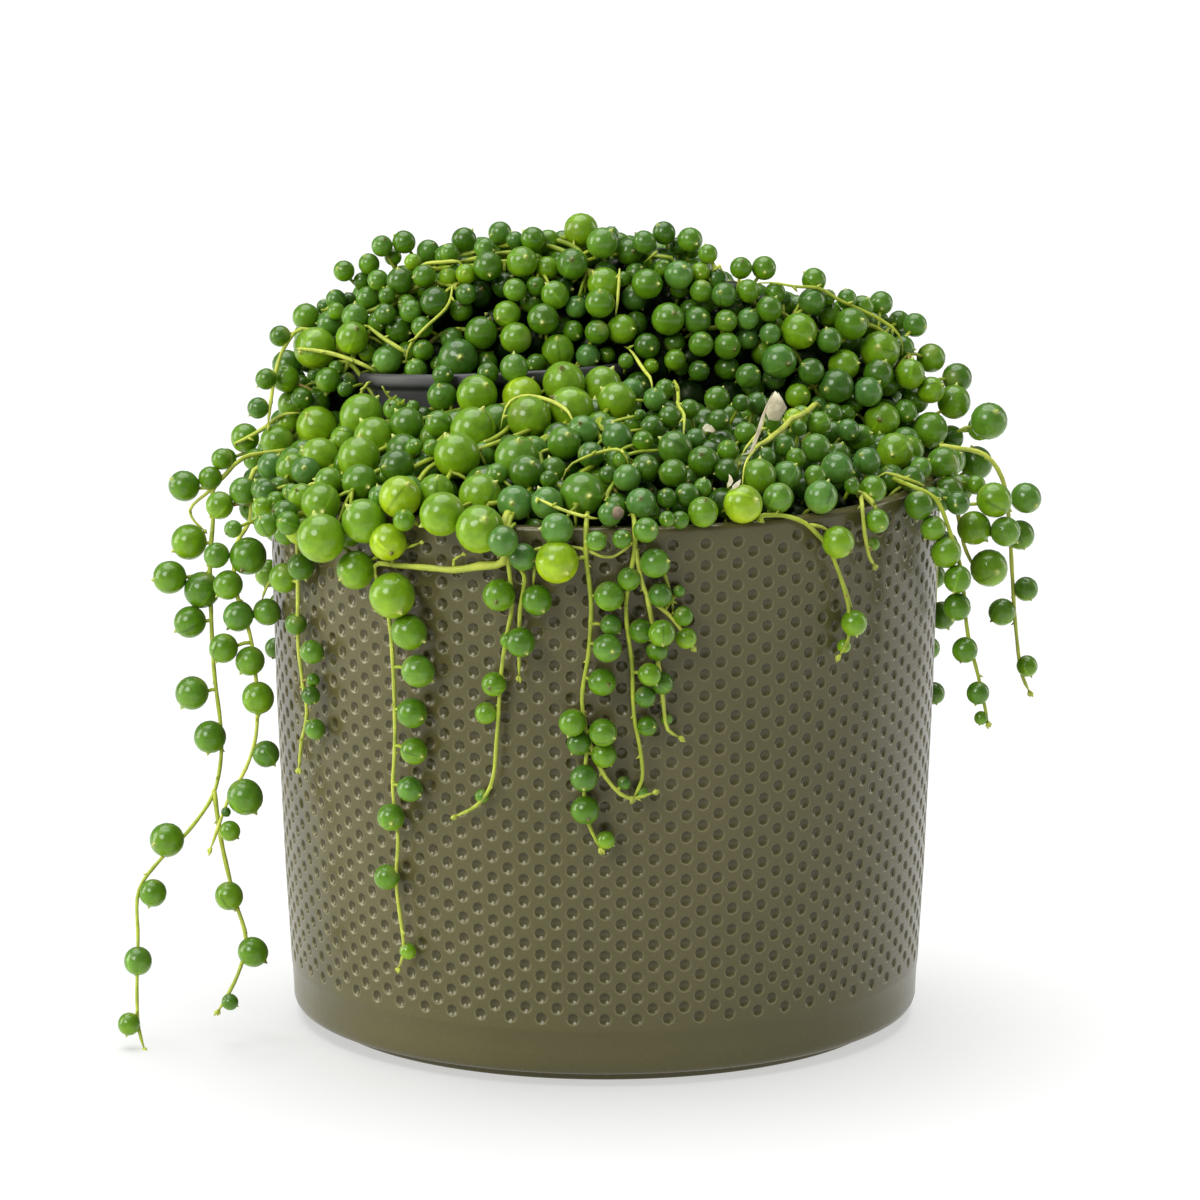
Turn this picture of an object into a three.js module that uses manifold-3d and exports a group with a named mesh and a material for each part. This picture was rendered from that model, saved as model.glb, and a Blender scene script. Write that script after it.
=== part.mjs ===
// A string of pearls plant in a dimpled round outer pot. Units: millimetres, +Z up.
// The origin is on the outer pot's axis, on the surface it stands on. -Y faces the viewer.
import * as THREE from 'three';
import { mergeVertices } from 'three/addons/utils/BufferGeometryUtils.js';
import Module from 'manifold-3d';

const wasm = await Module();
wasm.setup();

// ---------------------------------------------------------------- driving dimensions

const POT_HEIGHT = 130;
const RIM_RADIUS = 78;
const RIM_EDGE_HEIGHT = 1.4;
const RIM_EDGE_STEP = 0.7;
const WAIST_HEIGHT = 77;
const WAIST_RADIUS = 76.8;
const LOW_HEIGHT = 35.4;
const LOW_RADIUS = 75.05;
const BASE_HEIGHT = 3.9;
const BASE_RADIUS = 73.2;
const BASE_EDGE = [71.8, 2.6];
const FOOT_RADIUS = 67;
const FOOT_HEIGHT = 2.3;
const POT_WALL = 3.6;
const POT_FLOOR = 8;
const FLOOR_ROUND = 4;
const POT_SEGMENTS = 36;

const NURSERY_RADIUS = 36;
const NURSERY_BASE_RADIUS = 26;
const NURSERY_HEIGHT = 62;
const NURSERY_WALL = 1.3;
const NURSERY_LIP = 2.2;
const NURSERY_LIP_OUT = 1.2;
const NURSERY_SEGMENTS = 24;
const NURSERY_RIM_CENTRE = new THREE.Vector3(-24, 27, 149.5);
const NURSERY_LEAN_BACK = 5.9;
const NURSERY_LEAN_LEFT = 2.6;

const SOIL_TOP = 120;
const NURSERY_SOIL_DEPTH = 11;
const ROOT_RADIUS = 1.6;
const ROOT_SIDES = 6;
const ROOT_TAPER = 0.8;
const ROOT_DEPTH = 10;
const ROOT_ABOVE_SOIL = 2;
const ROOT_OUT = 55;
const LEFT_ROOT_OUT = 66;
const CROWN_ROOT = [-24, 24];
const CROWN_ROOT_TOP = 150;
const CROWN_ROOT_DEPTH = 16;

const MAT_BASE = 130;
const MAT_RISE = 24;
const MAT_RADIUS = 86;
const MAT_MIDDLE_Y = -5;
const CROWN_RISE = 55;
const CROWN_HALF_WIDTH = 88;
const CROWN_CREST_Y = 27;
const CROWN_FRONT = 32;
const CROWN_BACK = 50;
const CROWN_FULLNESS = 0.6;
const PLANT_EDGE = 79.5;
const PLANT_SIDES_OUT = 4;

const STEM_RADIUS = 0.95;
const STEM_STEP = 8.5;
const STEM_SIDES = 3;
const STEM_OFF_WALL = 3.3;
const LEAN_OVER_RIM = 3.1;
const PEARL_SWELL = 1.08;
const PEARL_SINK = 0.8;
const STALK_BITE = 0.2;
const GAP = 0.45;
const CLEARANCE = 0.9;
const PUSH = 0.5;
const PUSHES = 14;
const SMOOTHING = 0.24;

// A stem that forks off starts a little beside the other's middle line.
const FORK_OFFSET = new THREE.Vector3(0.23, 0.17, 0.11);

// ---------------------------------------------------------------- the viewpoint
// Places on the plant are given as the points where they are seen in the 1200 x 1200 view.

const VIEW_DISTANCE = 1800;
const VIEW_ELEVATION = THREE.MathUtils.degToRad(11.544);
const VIEW_FOCAL = 7704.2;
const VIEW_CENTRE = 600;
const VIEW_AIM = new THREE.Vector3(-1.11, 0, 97.85);
const MM_PER_VIEW_UNIT = VIEW_DISTANCE / VIEW_FOCAL;

// Depths between which a sight line is followed to the plant, and the step along it.
const NEAREST_Y = -84;
const FARTHEST_Y = 74;
const DEPTH_STEP = 0.5;
const WALL_TRIES = 12;

const VIEW_FORWARD = new THREE.Vector3(0, Math.cos(VIEW_ELEVATION), -Math.sin(VIEW_ELEVATION));
const VIEW_UP = new THREE.Vector3(0, Math.sin(VIEW_ELEVATION), Math.cos(VIEW_ELEVATION));
const EYE = VIEW_AIM.clone().addScaledVector(VIEW_FORWARD, -VIEW_DISTANCE);

// The direction in which the view point (u, v) is seen from the eye.
function sightLine(u, v) {
  const line = VIEW_FORWARD.clone();
  line.x += (u - VIEW_CENTRE) / VIEW_FOCAL;
  return line.addScaledVector(VIEW_UP, -(v - VIEW_CENTRE) / VIEW_FOCAL);
}

// The place seen at (u, v) that lies in the plane at depth y.
function placeAtDepth(u, v, y) {
  const line = sightLine(u, v);
  return EYE.clone().addScaledVector(line, (y - EYE.y) / line.y);
}

// ---------------------------------------------------------------- seeded draws

const BACK_SEED = 11;
const MAT_SEED = 29;

function makeDraw(seed) {
  let state = seed >>> 0;
  return () => {
    state = (Math.imul(state, 1664525) + 1013904223) >>> 0;
    return state / 4294967296;
  };
}

// ---------------------------------------------------------------- solids

function toSolid(geometry) {
  geometry.deleteAttribute('normal');
  geometry.deleteAttribute('uv');
  const merged = mergeVertices(geometry, 1e-4);
  const mesh = new wasm.Mesh({
    numProp: 3,
    vertProperties: new Float32Array(merged.attributes.position.array),
    triVerts: new Uint32Array(merged.index.array),
  });
  return new wasm.Manifold(mesh);
}

function toGeometry(solid) {
  const mesh = solid.getMesh();
  const geometry = new THREE.BufferGeometry();
  geometry.setAttribute('position', new THREE.BufferAttribute(mesh.vertProperties, 3));
  geometry.setIndex(new THREE.BufferAttribute(mesh.triVerts, 1));
  return geometry;
}

function joinAll(solids) {
  let row = solids;
  while (row.length > 1) {
    const next = [];
    for (let i = 0; i < row.length; i += 2) {
      next.push(i + 1 < row.length ? row[i].add(row[i + 1]) : row[i]);
    }
    row = next;
  }
  return row[0];
}

// The largest body of a solid: loose scraps are dropped.
function mainBody(solid) {
  const bodies = solid.decompose();
  bodies.sort((a, b) => b.volume() - a.volume());
  return bodies[0];
}

// A turned solid about +Z from a closed profile of [radius, height] points.
function turned(profile, segments) {
  const points = profile.map(([radius, height]) => new THREE.Vector2(radius, height));
  const geometry = new THREE.LatheGeometry(points, segments);
  geometry.rotateX(Math.PI / 2);
  return geometry;
}

// A tube with few sides along a smooth curve through the points.
function tube(points, radius, steps) {
  const section = new THREE.Shape();
  for (let i = 0; i < STEM_SIDES; i++) {
    const turn = (i / STEM_SIDES) * 2 * Math.PI;
    section[i === 0 ? 'moveTo' : 'lineTo'](radius * Math.cos(turn), radius * Math.sin(turn));
  }
  section.closePath();
  const path = new THREE.CatmullRomCurve3(points, false, 'centripetal');
  return toSolid(new THREE.ExtrudeGeometry(section, { steps, extrudePath: path }));
}

// A pearl of twenty faces. One of its corners points at the tip, and reaches it where the
// tip lies outside: that is the pearl's short stalk.
function pearlSolid(centre, radius, tip) {
  const geometry = new THREE.IcosahedronGeometry(radius, 0);
  const places = geometry.attributes.position;
  const place = new THREE.Vector3();
  const corner = new THREE.Vector3().fromBufferAttribute(places, 0);
  const reach = Math.max(1, tip.distanceTo(centre) / radius);
  for (let i = 0; i < places.count; i++) {
    place.fromBufferAttribute(places, i);
    if (place.distanceTo(corner) < 1e-3) places.setXYZ(i, ...place.multiplyScalar(reach));
  }
  const aim = tip.clone().sub(centre).normalize();
  geometry.applyQuaternion(new THREE.Quaternion().setFromUnitVectors(corner.normalize(), aim));
  geometry.translate(centre.x, centre.y, centre.z);
  return toSolid(geometry);
}

// ---------------------------------------------------------------- outer pot

const OUTER_PROFILE = [
  [BASE_RADIUS, BASE_HEIGHT],
  [LOW_RADIUS, LOW_HEIGHT],
  [WAIST_RADIUS, WAIST_HEIGHT],
  [RIM_RADIUS, POT_HEIGHT - RIM_EDGE_HEIGHT],
];

// Outer radius of the pot at a height, by straight lines between the profile's points.
function outerRadius(z) {
  const first = OUTER_PROFILE[0];
  const last = OUTER_PROFILE[OUTER_PROFILE.length - 1];
  if (z <= first[1]) return first[0];
  if (z >= last[1]) return last[0];
  const next = OUTER_PROFILE.findIndex(([, height]) => height >= z);
  const [r0, z0] = OUTER_PROFILE[next - 1];
  const [r1, z1] = OUTER_PROFILE[next];
  return r0 + ((r1 - r0) * (z - z0)) / (z1 - z0);
}

function innerRadius(z) {
  return outerRadius(z) - POT_WALL;
}

function cachepotSolid() {
  const inside = [
    [RIM_RADIUS - RIM_EDGE_STEP, POT_HEIGHT],
    [RIM_RADIUS - POT_WALL, POT_HEIGHT],
    [innerRadius(WAIST_HEIGHT), WAIST_HEIGHT],
    [innerRadius(POT_FLOOR + FLOOR_ROUND), POT_FLOOR + FLOOR_ROUND],
    [innerRadius(POT_FLOOR) - FLOOR_ROUND, POT_FLOOR],
    [0, POT_FLOOR],
  ];
  const foot = [[0, 0], [FOOT_RADIUS, 0], [FOOT_RADIUS, FOOT_HEIGHT], BASE_EDGE];
  return toSolid(turned([...foot, ...OUTER_PROFILE, ...inside], POT_SEGMENTS));
}

// ---------------------------------------------------------------- nursery pot

const NURSERY_PLACE = new THREE.Matrix4()
  .makeTranslation(NURSERY_RIM_CENTRE.x, NURSERY_RIM_CENTRE.y, NURSERY_RIM_CENTRE.z)
  .multiply(new THREE.Matrix4().makeRotationX(-THREE.MathUtils.degToRad(NURSERY_LEAN_BACK)))
  .multiply(new THREE.Matrix4().makeRotationY(-THREE.MathUtils.degToRad(NURSERY_LEAN_LEFT)))
  .multiply(new THREE.Matrix4().makeTranslation(0, 0, -NURSERY_HEIGHT));
const NURSERY_UNPLACE = NURSERY_PLACE.clone().invert();

// Outer radius of the nursery pot's wall at a height above its own base.
function nurseryRadius(height) {
  const wallTop = NURSERY_RADIUS - NURSERY_LIP_OUT;
  return NURSERY_BASE_RADIUS + ((wallTop - NURSERY_BASE_RADIUS) * height) / NURSERY_HEIGHT;
}

function placedInNursery(profile) {
  const geometry = turned(profile, NURSERY_SEGMENTS);
  geometry.applyMatrix4(NURSERY_PLACE);
  return toSolid(geometry);
}

function nurseryPotSolid() {
  const top = NURSERY_HEIGHT;
  const lipFoot = top - NURSERY_LIP;
  return placedInNursery([
    [0, 0], [NURSERY_BASE_RADIUS, 0], [nurseryRadius(lipFoot), lipFoot],
    [NURSERY_RADIUS, lipFoot], [NURSERY_RADIUS, top],
    [NURSERY_RADIUS - NURSERY_LIP_OUT - NURSERY_WALL, top],
    [NURSERY_BASE_RADIUS - NURSERY_WALL, NURSERY_WALL], [0, NURSERY_WALL],
  ]);
}

// The room that the nursery pot takes up, grown by the gap and open at the top.
function nurseryRoom(above) {
  const top = NURSERY_HEIGHT + above;
  const lipFoot = NURSERY_HEIGHT - NURSERY_LIP - GAP;
  return placedInNursery([
    [0, -GAP], [NURSERY_BASE_RADIUS + GAP, -GAP], [nurseryRadius(lipFoot) + GAP, lipFoot],
    [NURSERY_RADIUS + GAP, lipFoot], [NURSERY_RADIUS + GAP, top], [0, top],
  ]);
}

// The room inside the nursery pot from a height above its base up to another.
function nurseryInside(bottom, top) {
  const shrink = NURSERY_WALL + GAP;
  const topRadius = nurseryRadius(Math.min(top, NURSERY_HEIGHT)) - shrink;
  const profile = [[0, bottom], [nurseryRadius(bottom) - shrink, bottom], [topRadius, top], [0, top]];
  return placedInNursery(profile);
}

// ---------------------------------------------------------------- the plant's outer form

// Height of the tips of the pearls over the soil and the rim at a place seen from above.
function plantTop(x, y) {
  const out = Math.hypot(x, y - MAT_MIDDLE_Y) / MAT_RADIUS;
  const mat = MAT_BASE + MAT_RISE * (1 - out * out);
  const reach = y < CROWN_CREST_Y ? CROWN_FRONT : CROWN_BACK;
  const across = x / CROWN_HALF_WIDTH;
  const along = (y - CROWN_CREST_Y) / reach;
  const left = 1 - across * across - along * along;
  const crown = left > 0 ? MAT_BASE + CROWN_RISE * Math.pow(left, CROWN_FULLNESS) : 0;
  return Math.max(mat, crown);
}

// The widest radius of the plant's mat over the rim.
function matEdge(x, y) {
  const round = Math.hypot(x, y) || 1;
  return PLANT_EDGE + PLANT_SIDES_OUT * (x / round) ** 2;
}

// Where the sight line through (u, v) first meets the plant's form sunk by depth.
function placeOnPlant(u, v, depth) {
  const line = sightLine(u, v);
  let best = null;
  let least = Infinity;
  for (let y = NEAREST_Y; y <= FARTHEST_Y; y += DEPTH_STEP) {
    const place = EYE.clone().addScaledVector(line, (y - EYE.y) / line.y);
    const over = place.z - (plantTop(place.x, place.y) - depth);
    if (over < 0) return place;
    if (over < least) {
      least = over;
      best = place;
    }
  }
  return best;
}

// Where the sight line through (u, v) meets the pot's wall, moved out by offset.
// Above the rim the surface leans in with the mat.
function placeOnWall(u, v, offset) {
  let place = placeAtDepth(u, v, -RIM_RADIUS);
  for (let i = 0; i < WALL_TRIES; i++) {
    const over = Math.max(0, place.z - POT_HEIGHT);
    const radius = outerRadius(place.z) + offset - LEAN_OVER_RIM * over;
    const depthSquared = Math.max(radius * radius - place.x * place.x, 0);
    place = placeAtDepth(u, v, -Math.sqrt(depthSquared));
  }
  return place;
}

// Distance from a place to a turned wall given as the middle line of its section.
function distanceToSection(radius, height, line, halfWall) {
  let least = Infinity;
  for (let i = 0; i + 1 < line.length; i++) {
    const [r0, z0] = line[i];
    const [r1, z1] = line[i + 1];
    const length = (r1 - r0) ** 2 + (z1 - z0) ** 2;
    const dot = ((radius - r0) * (r1 - r0) + (height - z0) * (z1 - z0)) / length;
    const t = Math.min(1, Math.max(0, dot));
    least = Math.min(least, Math.hypot(radius - r0 - t * (r1 - r0), height - z0 - t * (z1 - z0)));
  }
  return least - halfWall;
}

const HALF_WALL = POT_WALL / 2;
const SECTION_HEIGHTS = [POT_HEIGHT - HALF_WALL, WAIST_HEIGHT, LOW_HEIGHT, BASE_HEIGHT];
const POT_SECTION = SECTION_HEIGHTS.map((z) => [outerRadius(z) - HALF_WALL, z]);
const HALF_LIP = 1.2;
const NURSERY_SECTION = [
  [NURSERY_RADIUS - HALF_LIP, NURSERY_HEIGHT - HALF_LIP],
  [nurseryRadius(0) - NURSERY_WALL / 2, 0],
];

function distanceToPots(place) {
  const outer = distanceToSection(Math.hypot(place.x, place.y), place.z, POT_SECTION, HALF_WALL);
  const local = place.clone().applyMatrix4(NURSERY_UNPLACE);
  const inner = distanceToSection(Math.hypot(local.x, local.y), local.z, NURSERY_SECTION, HALF_LIP);
  return Math.min(outer, inner);
}

// ---------------------------------------------------------------- hanging strings
// Each run is a stem seen through the points of its path, with pearls [u, v, radius] beside it.
// depths: the stem hangs free, from the first depth at its top to the second at its lowest point.
// With no depths it lies on the pot's wall. root: where a free stem grows out of the mat.

const SEEN_STRINGS = {
  string_left_outer: {
    root: [[-74, 2, 133]],
    depths: [-2, -40],
    runs: [{
      path: [[243, 458], [226, 474], [213, 490], [213, 520], [210, 560], [211, 610], [214, 670],
        [221, 730], [221, 758], [213, 795], [185, 835], [160, 860], [139, 890], [138, 940],
        [137, 1000], [139, 1030], [144, 1048]],
      pearls: [[222, 459, 11], [212, 478, 12], [193, 486, 16], [189, 542, 18], [187, 577, 17],
        [202, 590, 18.5], [190, 622, 16.5], [192, 693, 17], [210, 737, 16.5], [167, 840, 17.5],
        [153, 893, 14], [138, 961, 14.5], [129, 1024, 11.5]],
    }, {
      path: [[214, 790], [218, 820], [223, 850], [235, 900], [246, 940], [238, 974], [226, 998], [219, 1010]],
      pearls: [[229, 896, 14.5], [253, 952, 15.5], [230, 1002, 8.5]],
    }],
  },
  string_left_inner: {
    root: [[-74, -12, 133.3], [-81, -15.5, 131.5]],
    depths: [-17, -30],
    runs: [{
      path: [[250, 520], [236, 545], [236, 590], [250, 635], [256, 680], [256, 735], [246, 768],
        [228, 800], [220, 822], [211, 848]],
      pearls: [[229, 505, 14], [243, 491, 14], [225, 555, 13], [248, 556, 19], [228, 585, 15],
        [242, 616, 15.5], [267, 612, 14], [228, 648, 15], [250, 661, 15], [258, 698, 16.5], [266, 754, 13.5],
        [245, 797, 18.5], [230, 831, 10.5]],
    }],
  },
  string_left_arch: {
    root: [[-61, 20, 153]],
    depths: [19, 8],
    runs: [{
      path: [[301, 329], [284, 348], [276, 371], [271, 400], [268, 424]],
      pearls: [[280, 336, 11], [266, 379, 11], [258, 408, 11]],
    }],
  },
  string_front_left: {
    runs: [{
      path: [[298, 562], [298, 590], [298, 640], [303, 685], [307, 712], [301, 745], [299, 768]],
      pearls: [[301, 567, 13.5], [284, 578, 15], [296, 624, 11], [312, 652, 12], [314, 695, 9.5],
        [315, 729, 10.5]],
    }],
  },
  string_front_runner: {
    runs: [{
      path: [[452, 556], [430, 568], [402, 566], [375, 566], [388, 612], [393, 665], [395, 740],
        [393, 790], [398, 840], [396, 880], [402, 930], [404, 950], [399, 968]],
      pearls: [[388, 542, 18.5], [356, 570, 19], [394, 595, 22.5], [409, 632, 18], [418, 671, 16.5],
        [412, 713, 15], [414, 751, 13.5], [410, 789, 13], [391, 817, 14], [387, 877, 13], [408, 951, 8.5]],
    }],
  },
  string_front_centre: {
    runs: [{
      path: [[508, 556], [512, 605], [506, 640], [501, 675], [497, 735], [491, 785], [476, 806], [456, 816]],
      pearls: [[499, 595, 16], [494, 684, 12.5], [486, 713, 11], [482, 796, 7]],
    }, {
      path: [[508, 556], [524, 575], [520, 610], [519, 676]],
      pearls: [[523, 557, 13.5], [537, 600, 15], [523, 640, 14.5]],
    }],
  },
  string_front_right: {
    runs: [{
      path: [[586, 556], [591, 600], [589, 650], [582, 700], [587, 738], [584, 790], [588, 822], [600, 848]],
      pearls: [[557, 562, 21], [609, 596, 14.5], [607, 646, 14], [602, 682, 14], [573, 721, 13.5],
        [603, 731, 14], [579, 743, 12], [604, 755, 12.5], [584, 778, 13.5], [585, 810, 14], [606, 840, 9]],
    }, {
      path: [[587, 738], [606, 778], [628, 798], [653, 793]],
      pearls: [[624, 783, 7]],
    }],
  },
  string_right_cluster: {
    runs: [{
      path: [[635, 548], [626, 605], [632, 665], [634, 715], [641, 755], [642, 780]],
      pearls: [[629, 579, 11.5], [641, 631, 12], [648, 672, 11.5], [645, 697, 10.5], [647, 726, 10],
        [646, 784, 6.5]],
    }, {
      path: [[635, 548], [647, 595], [668, 614], [684, 634], [692, 646]],
      pearls: [[655, 563, 15], [660, 595, 12], [683, 616, 10], [686, 638, 10.5]],
    }, {
      path: [[647, 595], [655, 640], [663, 700], [668, 730], [679, 737]],
      pearls: [[660, 630, 13], [657, 650, 11], [662, 683, 11], [667, 719, 6]],
    }],
  },
  string_right_arch: {
    runs: [{
      path: [[797, 524], [815, 532], [836, 565], [848, 600], [850, 625], [840, 655]],
      pearls: [[838, 542, 16], [854, 623, 13], [844, 646, 7]],
    }],
  },
  string_right_short: {
    runs: [{
      path: [[862, 505], [865, 535], [869, 556], [874, 565]],
      pearls: [[877, 521, 12], [873, 544, 6.5]],
    }],
  },
  string_right_inner: {
    root: [[66, -34, 133]],
    depths: [-40, -41],
    runs: [{
      path: [[916, 488], [935, 498], [950, 532], [961, 570], [968, 635], [978, 675], [988, 722]],
      pearls: [[919, 505, 15], [931, 528, 12.5], [941, 552, 15.5], [947, 578, 14], [957, 607, 14],
        [965, 650, 13], [978, 693, 11.5], [981, 718, 7]],
    }],
  },
  string_right_middle: {
    root: [[75, -14, 133]],
    depths: [-17, -19],
    runs: [{
      path: [[948, 482], [958, 515], [964, 545], [974, 568]],
      pearls: [[947, 490, 14], [993, 500, 18], [974, 528, 17], [991, 531, 15], [989, 568, 19]],
    }],
  },
  string_right_outer: {
    root: [[78, 3, 134]],
    depths: [3, 5],
    runs: [{
      path: [[985, 455], [1002, 478], [1009, 520], [1012, 570], [1016, 630], [1022, 675], [1029, 691]],
      pearls: [[1026, 498, 16], [1020, 535, 15], [1026, 589, 12.5], [1002, 612, 14], [1027, 666, 11]],
    }],
  },
};

// The strings behind hang down the wall: each has an angle round the pot and a length.
const BACK_STRINGS = [
  [15, 62], [34, 92], [52, 46], [70, 80], [89, 100], [107, 54], [126, 76], [145, 90], [164, 50],
];
const BACK_PEARL_STEP = 9.6;
const BACK_PEARL_RADIUS = [4.1, 2.6];
const BACK_STRING_TOP = 129;
const BACK_WANDER = 5;
const BACK_STEM_SHARES = [0, 0.2, 0.4, 0.6, 0.8, 1];
const STALK_LENGTH = 0.6;

// The places of a stem and its pearls that were read from the view.
function seenString(plan) {
  const heights = plan.runs.flatMap((run) => run.path.map(([, v]) => v));
  const top = Math.min(...heights);
  const bottom = Math.max(...heights);
  const place = (u, v, radius) => {
    if (!plan.depths) return placeOnWall(u, v, radius);
    const t = Math.max(0, (v - top) / (bottom - top));
    return placeAtDepth(u, v, THREE.MathUtils.lerp(plan.depths[0], plan.depths[1], t));
  };
  const runs = plan.runs.map((run, index) => {
    const path = run.path.map(([u, v]) => place(u, v, STEM_OFF_WALL));
    if (index === 0) path.unshift(...rootOf(plan, path[0]));
    else path[0].add(FORK_OFFSET.clone().multiplyScalar(index));
    const pearls = run.pearls.map(([u, v, size]) => {
      const radius = size * MM_PER_VIEW_UNIT;
      return { centre: place(u, v, radius * PEARL_SWELL + GAP), radius };
    });
    return { path, pearls };
  });
  return runs;
}

// A stem on the wall comes out of the mat over the rim, through these radii and heights.
const OVER_RIM = [[72.5, 132.7], [77.5, 132.6], [80.6, 130.4]];

function rootOf(plan, start) {
  if (plan.root) return plan.root.map((place) => new THREE.Vector3(...place));
  const turn = Math.atan2(start.y, start.x);
  const at = (radius, z) => new THREE.Vector3(radius * Math.cos(turn), radius * Math.sin(turn), z);
  return OVER_RIM.map(([radius, z]) => at(radius, z));
}

function backString(degrees, length, draw) {
  const wander = (draw() - 0.5) * BACK_WANDER;
  const at = (share, radius, aside) => {
    const z = BACK_STRING_TOP - length * share;
    const bend = wander * Math.sin(4 * share) + aside;
    const turn = THREE.MathUtils.degToRad(degrees) + bend / RIM_RADIUS;
    const out = outerRadius(z) + radius;
    return new THREE.Vector3(out * Math.cos(turn), out * Math.sin(turn), z);
  };
  const path = BACK_STEM_SHARES.map((share) => at(share, STEM_OFF_WALL, 0));
  path.unshift(...rootOf({}, path[0]));
  const pearls = [];
  const count = Math.floor(length / BACK_PEARL_STEP) + 1;
  for (let i = 0; i < count; i++) {
    const share = (i + 0.3 * draw()) / (count - 0.4);
    const radius = THREE.MathUtils.lerp(...BACK_PEARL_RADIUS, share) * (0.9 + 0.2 * draw());
    const side = (i % 2 ? 1 : -1) * (radius + STALK_LENGTH);
    pearls.push({ centre: at(share, radius * PEARL_SWELL + GAP, side), radius });
  }
  return [{ path, pearls }];
}

// Room round a place, up to the nearest stem or pearl of the strings.
function roomFromStrings(place, strings) {
  let room = Infinity;
  for (const { path, pearls } of strings.flat()) {
    for (const { centre, radius } of pearls) {
      room = Math.min(room, place.distanceTo(centre) - radius * PEARL_SWELL);
    }
    room = Math.min(room, place.distanceTo(nearestOnPath(path, place)) - STEM_RADIUS);
  }
  return room;
}

// A pearl that would touch the pot or another string is moved out, away from the pot.
function settleString(runs, others) {
  for (const pearl of runs.flatMap((run) => run.pearls)) {
    const size = pearl.radius * PEARL_SWELL + GAP;
    const out = new THREE.Vector3(pearl.centre.x, pearl.centre.y, 0).normalize();
    for (let i = 0; i < PUSHES; i++) {
      const room = Math.min(distanceToPots(pearl.centre), roomFromStrings(pearl.centre, others));
      if (room >= size) break;
      pearl.centre.addScaledVector(out, PUSH);
    }
  }
}

function hangingStrings() {
  const draw = makeDraw(BACK_SEED);
  const strings = {};
  for (const [name, plan] of Object.entries(SEEN_STRINGS)) strings[name] = seenString(plan);
  BACK_STRINGS.forEach(([degrees, length], i) => {
    strings[`string_back_${i + 1}`] = backString(degrees, length, draw);
  });
  for (const [name, runs] of Object.entries(strings)) {
    const others = Object.entries(strings).filter(([other]) => other !== name);
    settleString(runs, others.map(([, otherRuns]) => otherRuns));
  }
  return strings;
}

// The nearest place to a pearl on a stem's path.
function nearestOnPath(path, centre) {
  const segment = new THREE.Line3();
  let nearest = path[0].clone();
  for (let i = 0; i + 1 < path.length; i++) {
    segment.set(path[i], path[i + 1]);
    const place = segment.closestPointToPoint(centre, true, new THREE.Vector3());
    if (place.distanceTo(centre) < nearest.distanceTo(centre)) nearest = place;
  }
  return nearest;
}

// One solid for a string: its stems and its pearls, each with its corner on the stem.
function stringSolid(runs, grow) {
  const solids = [];
  for (const { path, pearls } of runs) {
    const curve = new THREE.CatmullRomCurve3(path, false, 'centripetal');
    const steps = Math.max(3, Math.round(curve.getLength() / STEM_STEP));
    solids.push(tube(path, STEM_RADIUS + grow, steps));
    const line = curve.getPoints(steps * 2);
    for (const { centre, radius } of pearls) {
      const stalk = nearestOnPath(line, centre).lerp(centre, -STALK_BITE / radius);
      solids.push(pearlSolid(centre, radius * PEARL_SWELL + grow, stalk));
    }
  }
  return joinAll(solids);
}

// ---------------------------------------------------------------- the mat and the crown

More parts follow.
